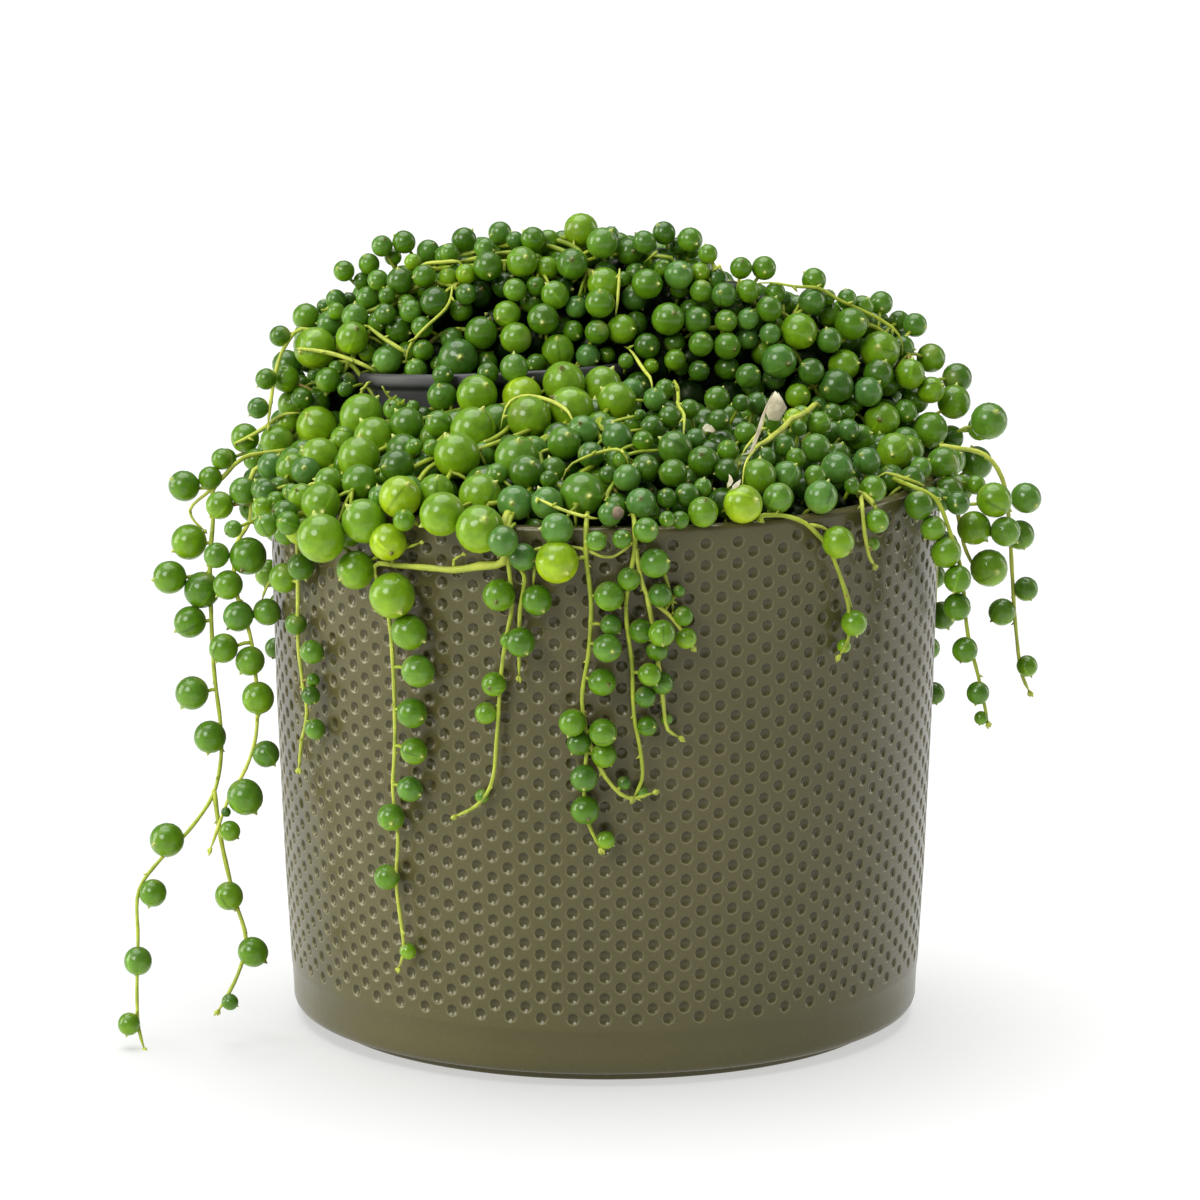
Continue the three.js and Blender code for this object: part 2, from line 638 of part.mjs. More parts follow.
// Pearls seen on the plant from the front: [u, v, radius].
const SEEN_PEARLS = [
  // crown, from left to right
  [315, 348, 22], [306, 317, 14], [352, 338, 17], [355, 317, 14], [344, 271, 11], [369, 264, 11],
  [382, 246, 11], [404, 242, 12], [428, 251, 12], [464, 240, 13], [500, 233, 12], [533, 239, 12.5],
  [581, 230, 17.4], [602, 243, 16], [572, 264, 16], [522, 262, 16], [488, 266, 15], [400, 281, 14],
  [378, 280, 11], [435, 302, 15.5], [604, 284, 17], [600, 303, 15], [555, 295, 14.5], [543, 319, 16],
  [481, 333, 17], [516, 338, 16], [458, 358, 20], [558, 351, 17], [387, 360, 15], [416, 369, 11],
  [423, 350, 11],
  // front left
  [362, 416, 23], [317, 427, 22], [374, 437, 20], [407, 424, 17], [439, 424, 14], [477, 395, 21],
  [442, 396, 15], [473, 430, 23], [522, 396, 20], [564, 383, 22], [571, 409, 23], [529, 418, 22],
  [602, 386, 20], [617, 402, 20], [457, 456, 23], [517, 458, 22], [526, 472, 17], [397, 466, 17],
  [359, 458, 22], [320, 456, 19], [360, 482, 18], [400, 497, 21], [442, 514, 22], [364, 521, 22],
  [321, 503, 20], [321, 538, 24], [480, 529, 24], [515, 503, 18], [582, 494, 22], [547, 503, 16],
  [557, 529, 16], [503, 541, 15], [245, 438, 15], [277, 441, 17], [226, 459, 11], [266, 525, 12],
  [271, 466, 14], [641, 503, 15],
  // right
  [644, 242, 12], [664, 233, 12], [690, 240, 13], [708, 254, 10], [741, 268, 11.5], [764, 268, 12.5],
  [814, 280, 12.5], [812, 301, 14], [881, 303, 12.5], [915, 325, 12.5], [931, 358, 15], [957, 378, 15.5],
  [954, 402, 17.5], [989, 421, 19], [980, 428, 13], [930, 430, 18.5], [976, 463, 17.5], [943, 463, 16.5],
  [851, 324, 17], [799, 331, 19], [779, 361, 18], [829, 340, 13], [880, 351, 21], [844, 365, 16],
  [878, 374, 15.5], [910, 374, 15.5], [931, 390, 14], [868, 392, 15], [811, 371, 13.5], [769, 309, 13.5],
  [724, 295, 13], [679, 275, 15], [647, 284, 16], [668, 319, 17], [697, 320, 14], [701, 344, 13],
  [727, 346, 14], [675, 360, 11], [699, 371, 11], [748, 376, 13], [717, 399, 13], [655, 399, 12],
  [670, 417, 11.5], [689, 409, 10], [675, 448, 17], [703, 461, 15], [673, 473, 14], [703, 512, 15],
  [743, 504, 19], [778, 498, 15], [759, 476, 17], [821, 497, 16.5], [837, 468, 16], [816, 448, 14.5],
  [819, 423, 12], [882, 420, 18.5], [895, 451, 18.5], [867, 461, 14], [798, 396, 13], [746, 433, 11.5],
  [728, 451, 11], [873, 489, 13.5], [912, 479, 13],
];

// The mat is made of bunches round the nursery pot, each between two angles in degrees.
const BUNCHES = {
  bunch_left: [131.6, 205],
  bunch_front_left: [205, 265],
  bunch_front_right: [265, 325],
  bunch_right: [325, 410],
  bunch_back: [50, 131.6],
};
const SMALLEST_MAT_PEARL = 15;
const RULED_PEARLS = 104;
const RULED_TRIES = 9000;
const RULED_RADIUS = [3.4, 4.8];
const WIDEST_PEARL = 84;
const WIDEST_SEEN_PEARL = 88;

// The core under the pearls: rings of its surface, and its edge that lies over the rim.
const CORE_RINGS = [76, 70, 60, 46, 32, 16, 0];
const CORE_SEGMENTS = 24;
const CORE_DEPTH = 7.4;
const CORE_LEAST_TOP = 134.8;
const CORE_LEAST_DEPTH = 2;
const CORE_EDGE_THICKNESS = 1.6;
const CORE_UNDER_Z = POT_HEIGHT + 2 * GAP;
const CORE_EDGE_Z = POT_HEIGHT + 2.6;
const CORE_IN_POT_RADIUS = 69.5;
const SEAM = 0.3;

// Larger than the plant, for solids that cut it; and a height between its base and its top.
const BEYOND = 200;
const MARK_HEIGHT = 150;
const FORM_MIDDLE = new THREE.Vector3(0, 8, 131);
const LINE_STEP = 0.4;
const STALK_STEPS = 22;
const STALK_IN_CORE = 0.5;
const STALK_IN_EDGE = 1.5;

// The core's surface, under the pearls that stand out of it.
function coreTop(x, y) {
  const top = plantTop(x, y);
  return Math.max(top - CORE_DEPTH, Math.min(CORE_LEAST_TOP, top - CORE_LEAST_DEPTH));
}

// A turned body on the given base, whose upper rings are raised to the core's surface.
function risenCore(base) {
  const profile = [...base, ...CORE_RINGS.map((radius) => [radius, MARK_HEIGHT])];
  const geometry = turned(profile, CORE_SEGMENTS);
  const places = geometry.attributes.position;
  for (let i = 0; i < places.count; i++) {
    const x = places.getX(i);
    const y = places.getY(i);
    const radius = Math.hypot(x, y);
    if (places.getZ(i) === MARK_HEIGHT) {
      places.setZ(i, coreTop(x, y));
    } else if (radius > CORE_RINGS[0]) {
      const wide = matEdge(x, y) / radius;
      places.setXYZ(i, x * wide, y * wide, places.getZ(i));
    }
  }
  return toSolid(geometry);
}

// The mat's core fills the pot above the soil and lies over the rim.
function matCore() {
  const base = SOIL_TOP + GAP;
  const edgeMiddle = CORE_UNDER_Z + CORE_EDGE_THICKNESS / 2;
  const core = risenCore([[0, base], [CORE_IN_POT_RADIUS, base], [PLANT_EDGE, edgeMiddle]]);
  const rim = turned([
    [CORE_IN_POT_RADIUS, 0], [BEYOND, 0], [BEYOND, CORE_UNDER_Z],
    [CORE_IN_POT_RADIUS, CORE_UNDER_Z], [CORE_IN_POT_RADIUS, 0],
  ], POT_SEGMENTS);
  return core.subtract(toSolid(rim));
}

// An upright wedge between two angles, drawn in by the seam on both sides.
function wedge([from, to]) {
  const start = THREE.MathUtils.degToRad(from);
  const end = THREE.MathUtils.degToRad(to);
  const middle = (start + end) / 2;
  const apart = SEAM / Math.sin((end - start) / 2);
  const x0 = apart * Math.cos(middle);
  const y0 = apart * Math.sin(middle);
  const shape = new THREE.Shape();
  shape.moveTo(x0, y0);
  for (const turn of [start, middle, end]) {
    shape.lineTo(x0 + BEYOND * Math.cos(turn), y0 + BEYOND * Math.sin(turn));
  }
  shape.closePath();
  return toSolid(new THREE.ExtrudeGeometry(shape, { depth: BEYOND, bevelEnabled: false }));
}

// Distance of a place from the straight seam at an angle, or beyond its inner end.
function distanceToSeam(place, degrees) {
  const turn = THREE.MathUtils.degToRad(degrees);
  const along = place.x * Math.cos(turn) + place.y * Math.sin(turn);
  const aside = place.y * Math.cos(turn) - place.x * Math.sin(turn);
  return along < 0 ? Math.hypot(along, aside) : Math.abs(aside);
}

// Distance of a place outward from the middle of the seam between the crown and the bunches.
function nurserySeamDistance(place) {
  const local = place.clone().applyMatrix4(NURSERY_UNPLACE);
  return Math.hypot(local.x, local.y) - (NURSERY_RADIUS - GAP);
}

function bunchAt(place) {
  if (nurserySeamDistance(place) < 0) return 'crown';
  let degrees = THREE.MathUtils.radToDeg(Math.atan2(place.y, place.x));
  while (degrees < BUNCHES.bunch_back[0]) degrees += 360;
  const found = Object.entries(BUNCHES).find(([, [from, to]]) => degrees >= from && degrees < to);
  return found[0];
}

// How far a pearl of the mat is from everything that is not its own bunch.
function matRoom(place, strings) {
  let room = Math.min(distanceToPots(place), Math.abs(nurserySeamDistance(place)));
  if (nurserySeamDistance(place) > 0) {
    for (const [from] of Object.values(BUNCHES)) room = Math.min(room, distanceToSeam(place, from));
  }
  return Math.min(room, roomFromStrings(place, strings));
}

// A pearl that touches something else is moved a little, and left out if that is not enough.
const SETTLE_STEPS = [
  [0, 0, 0], [0, 0, 1], [0, 0, 2], [1, 0, 0.5], [-1, 0, 0.5], [0, 1, 0.5], [0, -1, 0.5],
  [2, 0, 1], [-2, 0, 1], [0, 2, 1], [0, -2, 1],
];

function settle(place, size, strings) {
  for (const step of SETTLE_STEPS) {
    const moved = place.clone().add(new THREE.Vector3(...step));
    if (matRoom(moved, strings) >= size + GAP) return moved;
  }
  return null;
}

// Where a line from inside the plant, in the direction of the two angles, comes out of its form.
function placeOnForm(turn, rise, depth) {
  const line = new THREE.Vector3(Math.cos(turn), Math.sin(turn), Math.tan(rise)).normalize();
  const place = FORM_MIDDLE.clone();
  const inside = () => place.z < plantTop(place.x, place.y) - depth;
  while (inside() && Math.hypot(place.x, place.y) < WIDEST_PEARL) {
    place.addScaledVector(line, LINE_STEP);
  }
  return place;
}

// The end of a pearl's stalk, a little under the core's surface.
function stalkEnd(centre) {
  const slopeX = plantTop(centre.x + 1, centre.y) - plantTop(centre.x - 1, centre.y);
  const slopeY = plantTop(centre.x, centre.y + 1) - plantTop(centre.x, centre.y - 1);
  const inward = new THREE.Vector3(slopeX, slopeY, -2).normalize();
  const end = centre.clone();
  for (let i = 0; i < STALK_STEPS; i++) {
    end.addScaledVector(inward, LINE_STEP);
    const edge = matEdge(end.x, end.y) - STALK_IN_EDGE;
    if (Math.hypot(end.x, end.y) > edge || end.z < CORE_EDGE_Z) {
      const share = edge / Math.hypot(centre.x, centre.y);
      return new THREE.Vector3(centre.x * share, centre.y * share, CORE_EDGE_Z);
    }
    if (end.z < coreTop(end.x, end.y) - STALK_IN_CORE) return end;
  }
  return end;
}

function matPearls(strings) {
  const pearls = [];
  const add = (place, radius) => {
    const settled = settle(place, radius * PEARL_SWELL, strings);
    if (settled && Math.hypot(settled.x, settled.y) < WIDEST_SEEN_PEARL) {
      pearls.push({ centre: settled, radius });
    }
  };
  for (const [u, v, size] of SEEN_PEARLS) {
    const radius = size * MM_PER_VIEW_UNIT;
    if (size >= SMALLEST_MAT_PEARL) add(placeOnPlant(u, v, radius * PEARL_SINK), radius);
  }
  const draw = makeDraw(MAT_SEED);
  const seen = pearls.length;
  for (let i = 0; i < RULED_TRIES && pearls.length < seen + RULED_PEARLS; i++) {
    const turn = 2 * Math.PI * draw();
    const rise = Math.asin(draw());
    const radius = THREE.MathUtils.lerp(...RULED_RADIUS, draw());
    const place = placeOnForm(turn, rise, radius * PEARL_SINK);
    const near = pearls.some((other) => other.centre.distanceTo(place) < other.radius + radius);
    if (!near) add(place, radius);
  }
  return pearls;
}

// ---------------------------------------------------------------- soil and roots

function rootSolid([x, y], top, radius, depth) {
  const geometry = new THREE.CylinderGeometry(radius, radius * ROOT_TAPER, depth, ROOT_SIDES);
  geometry.rotateX(Math.PI / 2);
  geometry.translate(x, y, top - depth / 2);
  return toSolid(geometry);
}

// Each bunch has its root in the soil halfway out; the crown has its own in the nursery pot.
function rootPlaces() {
  const places = {};
  for (const [name, [from, to]] of Object.entries(BUNCHES)) {
    const turn = THREE.MathUtils.degToRad((from + to) / 2);
    const out = name === 'bunch_left' ? LEFT_ROOT_OUT : ROOT_OUT;
    places[name] = [out * Math.cos(turn), out * Math.sin(turn)];
  }
  return places;
}

function soilSolid(roots) {
  const base = POT_FLOOR + GAP;
  const profile = [
    [0, base],
    [innerRadius(base) - FLOOR_ROUND - GAP, base],
    [innerRadius(base + FLOOR_ROUND) - GAP, base + FLOOR_ROUND],
    [innerRadius(WAIST_HEIGHT) - GAP, WAIST_HEIGHT],
    [innerRadius(SOIL_TOP) - GAP, SOIL_TOP],
    [0, SOIL_TOP],
  ];
  let soil = toSolid(turned(profile, POT_SEGMENTS)).subtract(nurseryRoom(BEYOND));
  const top = SOIL_TOP + ROOT_ABOVE_SOIL;
  for (const place of Object.values(roots)) {
    const hole = rootSolid(place, top, ROOT_RADIUS + GAP, ROOT_DEPTH + ROOT_ABOVE_SOIL + GAP);
    soil = soil.subtract(hole);
  }
  return mainBody(soil);
}

const NURSERY_SOIL_TOP = NURSERY_HEIGHT - NURSERY_SOIL_DEPTH;

function nurserySoilSolid() {
  const soil = nurseryInside(NURSERY_WALL + GAP, NURSERY_SOIL_TOP);
  const hole = rootSolid(CROWN_ROOT, CROWN_ROOT_TOP, ROOT_RADIUS + GAP, CROWN_ROOT_DEPTH + GAP);
  return mainBody(soil.subtract(hole));
}

// The crown's core is the same form, inside the nursery pot.
function crownCore() {
  const inside = nurseryInside(NURSERY_SOIL_TOP + GAP, BEYOND);
  return risenCore([[0, SOIL_TOP], [CORE_RINGS[0], SOIL_TOP]]).intersect(inside);
}

function bunchSolids(strings, clearances) {
  const core = matCore().subtract(nurseryRoom(BEYOND));
  const roots = rootPlaces();
  const rootTop = SOIL_TOP + ROOT_ABOVE_SOIL;
  const parts = {};
  for (const [name, angles] of Object.entries(BUNCHES)) {
    const root = rootSolid(roots[name], rootTop, ROOT_RADIUS, ROOT_DEPTH + ROOT_ABOVE_SOIL);
    parts[name] = [mainBody(core.intersect(wedge(angles))), root];
  }
  const crownRoot = rootSolid(CROWN_ROOT, CROWN_ROOT_TOP, ROOT_RADIUS, CROWN_ROOT_DEPTH);
  parts.crown = [crownCore(), crownRoot];
  for (const { centre, radius } of matPearls(strings)) {
    parts[bunchAt(centre)].push(pearlSolid(centre, radius * PEARL_SWELL, stalkEnd(centre)));
  }
  const solids = {};
  for (const [name, pieces] of Object.entries(parts)) {
    solids[name] = mainBody(joinAll(pieces).subtract(clearances));
  }
  return solids;
}

// ---------------------------------------------------------------- the model

const COLOURS = {
  pot: { color: 0x6b665a, roughness: 0.6, metalness: 0 },
  nursery: { color: 0x35383a, roughness: 0.45, metalness: 0 },
  soil: { color: 0x3a2c20, roughness: 0.95, metalness: 0 },
  plant: { color: 0x5f9a2e, roughness: 0.35, metalness: 0 },
};

const potted = new THREE.Group();

function addPiece(name, solid, look) {
  const shape = toGeometry(mainBody(solid.simplify(SMOOTHING)));
  const mesh = new THREE.Mesh(shape, new THREE.MeshStandardMaterial(COLOURS[look]));
  mesh.name = name;
  potted.add(mesh);
}

const strings = hangingStrings();
const stringRuns = Object.values(strings);
const clearances = joinAll(stringRuns.map((runs) => stringSolid(runs, CLEARANCE)));

addPiece('cachepot', cachepotSolid(), 'pot');
addPiece('nursery_pot', nurseryPotSolid(), 'nursery');
addPiece('soil_outer', soilSolid(rootPlaces()), 'soil');
addPiece('soil_nursery', nurserySoilSolid(), 'soil');
for (const [name, solid] of Object.entries(bunchSolids(stringRuns, clearances))) {
  addPiece(name, solid, 'plant');
}
for (const [name, runs] of Object.entries(strings)) {
  addPiece(name, stringSolid(runs, 0), 'plant');
}

export default potted;
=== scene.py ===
import math

import bpy
import numpy as np
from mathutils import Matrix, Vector


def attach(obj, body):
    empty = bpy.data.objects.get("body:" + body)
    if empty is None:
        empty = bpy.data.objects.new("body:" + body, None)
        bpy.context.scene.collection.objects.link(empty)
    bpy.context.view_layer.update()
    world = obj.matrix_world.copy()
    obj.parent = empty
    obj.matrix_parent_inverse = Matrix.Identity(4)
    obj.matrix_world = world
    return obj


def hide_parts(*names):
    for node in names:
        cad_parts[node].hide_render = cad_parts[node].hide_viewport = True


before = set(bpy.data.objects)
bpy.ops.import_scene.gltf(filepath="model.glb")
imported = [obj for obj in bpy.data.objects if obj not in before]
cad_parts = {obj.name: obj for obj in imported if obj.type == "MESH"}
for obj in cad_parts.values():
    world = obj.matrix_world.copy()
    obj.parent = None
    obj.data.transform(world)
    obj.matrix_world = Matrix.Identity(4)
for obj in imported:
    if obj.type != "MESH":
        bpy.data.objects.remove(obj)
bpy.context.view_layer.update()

MM = 0.001

# ---------------------------------------------------------------- driving dimensions, as in the source

POT_HEIGHT = 130.0
RIM_RADIUS = 78.0
POT_WALL = 3.6
FOOT_RADIUS = 67.0
POT_PROFILE = [(73.2, 3.9), (73.75, 13.1), (75.05, 35.4), (76.8, 77.0), (77.25, 94.8), (78.0, 128.6)]

NURSERY_RADIUS = 36.0
NURSERY_HEIGHT = 62.0
NURSERY_RIM = (-24.0, 27.0, 149.5)
NURSERY_LEAN_BACK = 5.9
NURSERY_LEAN_LEFT = 2.6

# The plant's form: a low mat over the soil and the rim, and a crown that rises at the back of it.
MAT_BASE = 130.0
MAT_RISE = 24.0
MAT_RADIUS = 86.0
MAT_MIDDLE_Y = -5.0
CROWN_RISE = 55.0
CROWN_HALF_WIDTH = 88.0
CROWN_CREST_Y = 27.0
CROWN_FRONT = 32.0
CROWN_BACK = 50.0
CROWN_FULLNESS = 0.6
# Each bunch lies round the pot's axis up to its angle in degrees. The first starts at BUNCHES_FROM.
BUNCHES_FROM = 50
BUNCH_ENDS = (("bunch_back", 131.6), ("bunch_left", 205), ("bunch_front_left", 265),
              ("bunch_front_right", 325))

STEM_OFF_WALL = 3.3
LEAN_OVER_RIM = 3.1
PEARL_SWELL = 1.08
PEARL_SINK = 0.8
GAP = 0.45

VIEW_SIZE = 1200.0
VIEW_DISTANCE = 1800.0
VIEW_ELEVATION = math.radians(11.544)
VIEW_FOCAL = 7704.2
VIEW_CENTRE = VIEW_SIZE / 2
VIEW_AIM = np.array([-1.11, 0.0, 97.85])
MM_PER_UNIT = VIEW_DISTANCE / VIEW_FOCAL
FORWARD = np.array([0.0, math.cos(VIEW_ELEVATION), -math.sin(VIEW_ELEVATION)])
UP = np.array([0.0, math.sin(VIEW_ELEVATION), math.cos(VIEW_ELEVATION)])
RIGHT = np.array([1.0, 0.0, 0.0])
EYE = VIEW_AIM - VIEW_DISTANCE * FORWARD
# Depths between which a sight line is followed to the plant, and the step along it.
NEAREST_Y = -84.0
FARTHEST_Y = 74.0
DEPTH_STEP = 0.5
WALL_TRIES = 12


def make_draw(seed):
    """Seeded draws from 0 to 1, the same as in the source."""
    state = [seed]

    def draw():
        state[0] = (state[0] * 1664525 + 1013904223) % 4294967296
        return state[0] / 4294967296

    return draw


def unit(v):
    """The vector at a length of one."""
    return v / max(float(np.linalg.norm(v)), 1e-9)


def lerp(a, b, t):
    """The value at a share t of the way from a to b."""
    return a + (b - a) * t


def polar(out, turn, z):
    """The place at a radius, an angle round the pot's axis and a height."""
    return np.array([out * math.cos(turn), out * math.sin(turn), z])


# ---------------------------------------------------------------- the view and the plant's form

def sight_line(u, v):
    """The direction in which the point (u, v) of the view is seen from the eye."""
    return FORWARD + RIGHT * ((u - VIEW_CENTRE) / VIEW_FOCAL) - UP * ((v - VIEW_CENTRE) / VIEW_FOCAL)


def place_at_depth(u, v, y):
    """The place seen at (u, v) that lies in the plane at depth y."""
    line = sight_line(u, v)
    return EYE + line * ((y - EYE[1]) / line[1])


def seen_at(place):
    """The point of the view at which a place is seen."""
    offset = place - EYE
    deep = offset @ FORWARD
    return np.array([VIEW_CENTRE + VIEW_FOCAL * (offset @ RIGHT) / deep,
                     VIEW_CENTRE - VIEW_FOCAL * (offset @ UP) / deep])


def outer_radius(z):
    """The outer pot's outside radius at a height."""
    return float(np.interp(z, [p[1] for p in POT_PROFILE], [p[0] for p in POT_PROFILE]))


def plant_top(x, y):
    """Height of the pearls' tips over the soil and the rim."""
    out = math.hypot(x, y - MAT_MIDDLE_Y) / MAT_RADIUS
    mat = MAT_BASE + MAT_RISE * (1 - out * out)
    along = (y - CROWN_CREST_Y) / (CROWN_FRONT if y < CROWN_CREST_Y else CROWN_BACK)
    left = 1 - (x / CROWN_HALF_WIDTH) ** 2 - along * along
    return max(mat, MAT_BASE + CROWN_RISE * left ** CROWN_FULLNESS) if left > 0 else mat


# Over this radius the form turns to face sideways, fully so after this much more.
EDGE_FROM = 70.0
EDGE_WIDTH = 12.0
SLOPE_STEP = 2.0


def outward(place):
    """The direction in which the plant's form faces at a place."""
    x, y = place[0], place[1]
    step = SLOPE_STEP
    slope_x = (plant_top(x + step, y) - plant_top(x - step, y)) / (2 * step)
    slope_y = (plant_top(x, y + step) - plant_top(x, y - step)) / (2 * step)
    normal = unit(np.array([-slope_x, -slope_y, 1.0]))
    out = math.hypot(x, y)
    if out > EDGE_FROM:
        share = min(1.0, (out - EDGE_FROM) / EDGE_WIDTH)
        normal = unit(normal * (1 - share) + share * np.array([x / out, y / out, 0.1]))
    return normal


def place_on_plant(u, v, depth):
    """Where the sight line first meets the plant's form sunk by depth."""
    line = sight_line(u, v)
    best, least = None, math.inf
    for y in np.arange(NEAREST_Y, FARTHEST_Y + DEPTH_STEP / 2, DEPTH_STEP):
        place = EYE + line * ((y - EYE[1]) / line[1])
        over = place[2] - (plant_top(place[0], place[1]) - depth)
        if over < 0:
            return place
        if over < least:
            best, least = place, over
    return best


def place_on_wall(u, v, offset):
    """Where the sight line meets the pot's wall moved out by offset; it leans in over the rim."""
    place = place_at_depth(u, v, -RIM_RADIUS)
    for _ in range(WALL_TRIES):
        over = max(0.0, place[2] - POT_HEIGHT)
        radius = outer_radius(place[2]) + offset - LEAN_OVER_RIM * over
        place = place_at_depth(u, v, -math.sqrt(max(radius * radius - place[0] ** 2, 0)))
    return place


def turn_x(a):
    return np.array([[1, 0, 0], [0, math.cos(a), -math.sin(a)], [0, math.sin(a), math.cos(a)]])


def turn_y(a):
    return np.array([[math.cos(a), 0, math.sin(a)], [0, 1, 0], [-math.sin(a), 0, math.cos(a)]])


NURSERY_TURN = turn_x(-math.radians(NURSERY_LEAN_BACK)) @ turn_y(-math.radians(NURSERY_LEAN_LEFT))


def in_nursery(place):
    """A place in the nursery pot's own frame, whose origin is the middle of its base."""
    return NURSERY_TURN.T @ (np.asarray(place) - np.array(NURSERY_RIM)) + [0, 0, NURSERY_HEIGHT]


def from_nursery(places):
    """Places of the nursery pot's own frame, in the part's frame."""
    return (np.asarray(places) - [0, 0, NURSERY_HEIGHT]) @ NURSERY_TURN.T + np.array(NURSERY_RIM)


def bunch_at(place):
    """The name of the bunch, or of the crown, that a place belongs to."""
    local = in_nursery(place)
    if math.hypot(local[0], local[1]) < NURSERY_RADIUS - GAP:
        return "crown"
    degrees = math.degrees(math.atan2(place[1], place[0]))
    while degrees < BUNCHES_FROM:
        degrees += 360
    for name, end in BUNCH_ENDS:
        if degrees < end:
            return name
    return "bunch_right"


# ---------------------------------------------------------------- meshes

# The materials of a plant piece, by which its faces name them.
PEARL, STEM, DRY = range(3)


class Mesh:
    """Gathers the places, faces, looks and turns of one piece."""

    def __init__(self):
        self.verts = []
        self.faces = []
        self.mats = []
        self.looks = []
        self.uvs = []
        self.count = 0

    def add(self, verts, faces, mat=0, look=(0.5, 0.5, 0.5), uvs=None):
        """faces index into verts; look is three numbers a material reads; uvs are per corner."""
        verts = np.asarray(verts, float)
        self.verts.append(verts)
        looks = np.asarray(look, float)
        if looks.ndim == 1:
            looks = np.tile(looks, (len(verts), 1))
        self.looks.append(looks)
        for face in faces:
            self.faces.append(tuple(int(i) + self.count for i in face))
        self.mats.extend([mat] * len(faces))
        if uvs is None:
            uvs = [(0.0, 0.0)] * sum(len(face) for face in faces)
        self.uvs.extend(uvs)
        self.count += len(verts)

    def build(self, name, slot, materials, nodes=()):
        """Makes the piece, which rides on the part's one body and stands for the nodes."""
        mesh = bpy.data.meshes.new(name)
        verts = np.concatenate(self.verts) * MM
        mesh.from_pydata(verts.tolist(), [], self.faces)
        for material in materials:
            mesh.materials.append(material)
        mesh.polygons.foreach_set("material_index", self.mats)
        mesh.polygons.foreach_set("use_smooth", [True] * len(self.faces))
        looks = np.concatenate(self.looks)
        layer = mesh.color_attributes.new("look", "FLOAT_COLOR", "POINT")
        layer.data.foreach_set("color", np.hstack([looks, np.ones((len(looks), 1))]).ravel())
        uv = mesh.uv_layers.new(name="turn")
        uv.data.foreach_set("uv", np.asarray(self.uvs, float).ravel())
        mesh.validate()
        mesh.update()
        piece = bpy.data.objects.new(name, mesh)
        bpy.context.collection.objects.link(piece)
        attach(piece, "root")
        if nodes:
            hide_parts(*nodes)
        return piece


def frame_of(axis):
    """Two directions square to an axis and to each other."""
    axis = unit(axis)
    helper = np.array([0.0, 0.0, 1.0]) if abs(axis[2]) < 0.9 else np.array([1.0, 0.0, 0.0])
    side = unit(np.cross(helper, axis))
    return side, np.cross(axis, side)


def smooth_line(points, step):
    """Points along a smooth curve through the given ones, about a step apart."""
    points = np.asarray(points, float)
    if len(points) < 3:
        count = max(2, int(np.linalg.norm(points[-1] - points[0]) / step) + 1)
        return np.linspace(points[0], points[-1], count)
    knots = np.concatenate([[0], np.cumsum(np.linalg.norm(np.diff(points, axis=0), axis=1) ** 0.5)])
    padded = np.vstack([2 * points[0] - points[1], points, 2 * points[-1] - points[-2]])
    t = np.concatenate([[-(knots[1])], knots, [knots[-1] + knots[-1] - knots[-2]]])
    out = []
    for i in range(1, len(padded) - 2):
        p0, p1, p2, p3 = padded[i - 1:i + 3]
        t0, t1, t2, t3 = t[i - 1:i + 3]
        count = max(2, int(round(np.linalg.norm(p2 - p1) / step)))
        for k in range(count):
            s = t1 + (t2 - t1) * k / count
            a1 = (t1 - s) / (t1 - t0) * p0 + (s - t0) / (t1 - t0) * p1
            a2 = (t2 - s) / (t2 - t1) * p1 + (s - t1) / (t2 - t1) * p2
            a3 = (t3 - s) / (t3 - t2) * p2 + (s - t2) / (t3 - t2) * p3
            b1 = (t2 - s) / (t2 - t0) * a1 + (s - t0) / (t2 - t0) * a2
            b2 = (t3 - s) / (t3 - t1) * a2 + (s - t1) / (t3 - t1) * a3
            out.append((t2 - s) / (t2 - t1) * b1 + (s - t1) / (t2 - t1) * b2)
    out.append(points[-1])
    return np.array(out)


def spokes_of(count):
    """Angles that go once round in equal steps."""
    return np.arange(count) * 2 * math.pi / count


def ring_numbers(first, rings, sides):
    """The numbers of the points in rings that follow one another from the first number."""
    return [list(range(first + i * sides, first + (i + 1) * sides)) for i in range(rings)]


def skin(rings):
    """The faces over a stack of rings, and the (column, ring) of each face's corners.

    A ring is a list of point numbers, and one of a single number closes the stack in a point.
    """
    faces, corners_of = [], []
    for i in range(len(rings) - 1):
        lower, upper = rings[i], rings[i + 1]
        for k in range(max(len(lower), len(upper))):
            corners = [(k, i), (k + 1, i), (k + 1, i + 1), (k, i + 1)]
            if len(lower) == 1:
                del corners[1]
            if len(upper) == 1:
                del corners[2]
            faces.append([rings[ring][column % len(rings[ring])] for column, ring in corners])
            corners_of.append(corners)
    return faces, corners_of


def add_tube(mesh, line, radii, mat, look, sides=7):
    """A closed tube round a line of points, with a radius at each of them."""
    line = np.asarray(line, float)
    radii = np.broadcast_to(np.asarray(radii, float), (len(line),))
    tangents = np.gradient(line, axis=0)
    side, _ = frame_of(tangents[0])
    verts = []
    turns = spokes_of(sides)
    for i, (place, tangent) in enumerate(zip(line, tangents)):
        tangent = unit(tangent)
        side = unit(side - tangent * (side @ tangent))
        other = np.cross(tangent, side)
        ring = place + radii[i] * (np.outer(np.cos(turns), side) + np.outer(np.sin(turns), other))
        verts.extend(ring)
    start = len(verts)
    verts.extend([line[0], line[-1]])
    faces, _ = skin([[start]] + ring_numbers(0, len(line), sides) + [[start + 1]])
    mesh.add(verts, faces, mat, look)


# The sides and the rings of a coarse, a middling and a fine pearl.
PEARL_SIDES = ((10, 6), (14, 9), (18, 12))
TIP_LENGTH = 1.18


